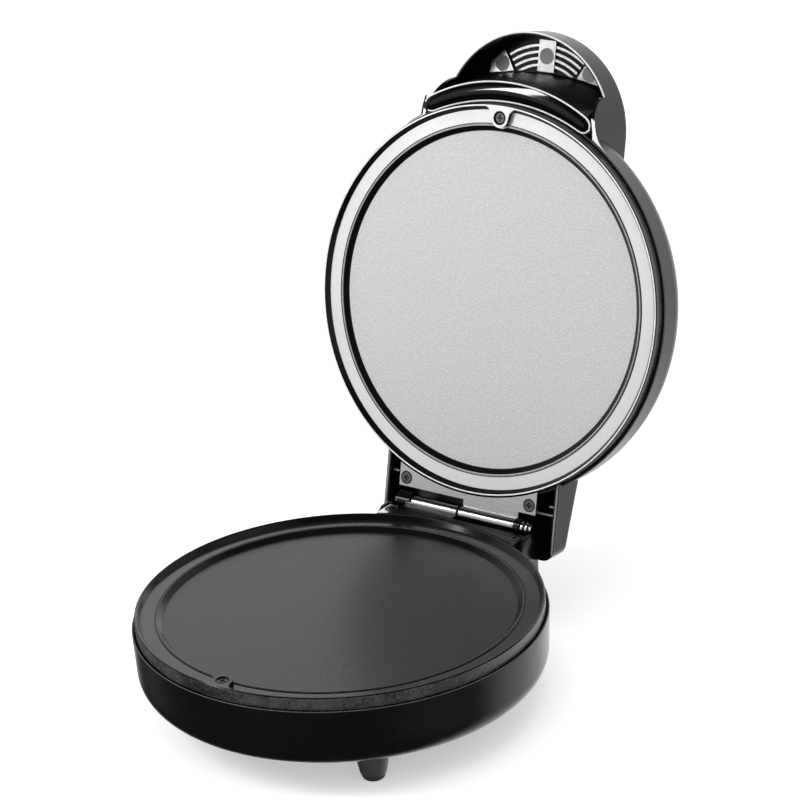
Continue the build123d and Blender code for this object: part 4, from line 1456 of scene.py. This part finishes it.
@dataclass(frozen=True)
class Studio:
    """White floor, white surroundings and soft lamps."""

    floor_size: float = 8.0
    floor_white: float = 0.9
    floor_lift: float = 0.42
    floor_roughness: float = 0.6
    floor_sheen: float = 0.2
    ambient: float = 0.8
    dark_side: float = 0.03
    lamps: tuple[Softbox, ...] = (
        Softbox("key_lamp", (-0.565, -0.609, 0.67), (0, 0.11, 0.26), (0.25, 0.5), 4.3),
        Softbox(
            "gloss_lamp", (-0.56, -0.605, 0.665), (0, 0.11, 0.26), (0.06, 0.5), 1.6,
            mirrored=True, without=("crescent_face",),
        ),
        Softbox(
            "streak_lamp", (-0.469, -0.605, 0.778), (0, 0.112, 0.263), (0.1, 0.65), 11.0,
            mirrored=True, only=("crescent_face",),
        ),
        Softbox("top_lamp", (0.3, -0.2, 1.9), (0, 0.0, 0.1), (1.2, 1.2), 6.0),
    )
    panels: tuple[Panel, ...] = (
        Panel((-0.54, -0.82, 0.2), 8.0, 26.0, 0.95),
        Panel((0.0, 0.94, -0.33), 40.0, 60.0, 1.3),
        Panel((-0.6, 0.7, 0.38), 9.0, 24.0, 1.6),
        Panel((1.0, -0.05, 0.1), 20.0, 45.0, 0.8),
        Panel((-1.0, 0.0, 0.1), 20.0, 40.0, 0.6),
    )

    def build(self) -> None:
        """Makes the floor, the world and the lamps."""
        self.make_floor()
        self.make_world()
        for lamp in self.lamps:
            lamp.build()

    def make_floor(self) -> None:
        """Makes the floor, which takes the object's shadow and is white where it is lit."""
        mesh = bpy.data.meshes.new("floor")
        sheet = bmesh.new()
        bmesh.ops.create_grid(sheet, x_segments=1, y_segments=1, size=self.floor_size / 2)
        sheet.to_mesh(mesh)
        sheet.free()
        floor = put("floor", mesh)
        paint = bpy.data.materials.new("floor_paint")
        paint.use_nodes = True
        wiring = Wiring(paint.node_tree)
        seen = wiring.add("ShaderNodeLightPath").outputs["Is Camera Ray"]
        underside = wiring.add("ShaderNodeNewGeometry").outputs["Backfacing"]
        wiring.apply(
            paint.node_tree.nodes["Principled BSDF"],
            Base_Color=(self.floor_white,) * 3,
            Roughness=self.floor_roughness,
            Specular_IOR_Level=self.floor_sheen,
            Emission_Color=WHITE,
            Emission_Strength=wiring.math("MULTIPLY", seen, self.floor_lift),
            Alpha=wiring.flipped(underside),
        )
        floor.data.materials.append(paint)
        floor.visible_glossy = False

    def make_world(self) -> None:
        """Makes surroundings that are seen as white and light the object softly."""
        world = bpy.data.worlds.new("studio")
        bpy.context.scene.world = world
        world.use_nodes = True
        world.cycles.sampling_method = "NONE"
        wiring = Wiring(world.node_tree)
        ray = wiring.add("ShaderNodeLightPath").outputs
        clear = wiring.math("MAXIMUM", ray["Is Camera Ray"], ray["Is Transmission Ray"])
        plain = wiring.level(clear, self.ambient, 1.0)
        step = wiring.math("SUBTRACT", self.mirrored(wiring), plain)
        glossy = wiring.math("MULTIPLY", step, ray["Is Glossy Ray"])
        background = world.node_tree.nodes["Background"]
        wiring.apply(background, Color=WHITE, Strength=wiring.math("ADD", plain, glossy))

    def mirrored(self, wiring: Wiring) -> Socket:
        """Gives the strength of what reflections show in each direction.

        Args:
            wiring: The world's wiring.

        Returns:
            The strength.
        """
        direction = wiring.add("ShaderNodeTexCoord").outputs["Generated"]
        total: object = self.dark_side
        for panel in self.panels:
            aim = wiring.vector("DOT_PRODUCT", direction, Vector(panel.towards).normalized())
            patch = wiring.ramp(aim, cos(radians(panel.outer)), cos(radians(panel.inner)))
            total = wiring.math("MAXIMUM", total, wiring.math("MULTIPLY", patch, panel.strength))
        return total


def main() -> None:
    """Sets the camera, dresses the pizza maker and builds the studio round it."""
    logging.basicConfig(level=logging.INFO, format="%(message)s")
    bpy.context.scene.view_settings.view_transform = "Standard"
    PhotoCamera().build()
    dress_cad_nodes()
    log.info("dressed %d packed nodes", sum(len(names) for names in NODE_FINISHES.values()))
    Trim().build()
    Studio().build()


if __name__ == "__main__":
    main()
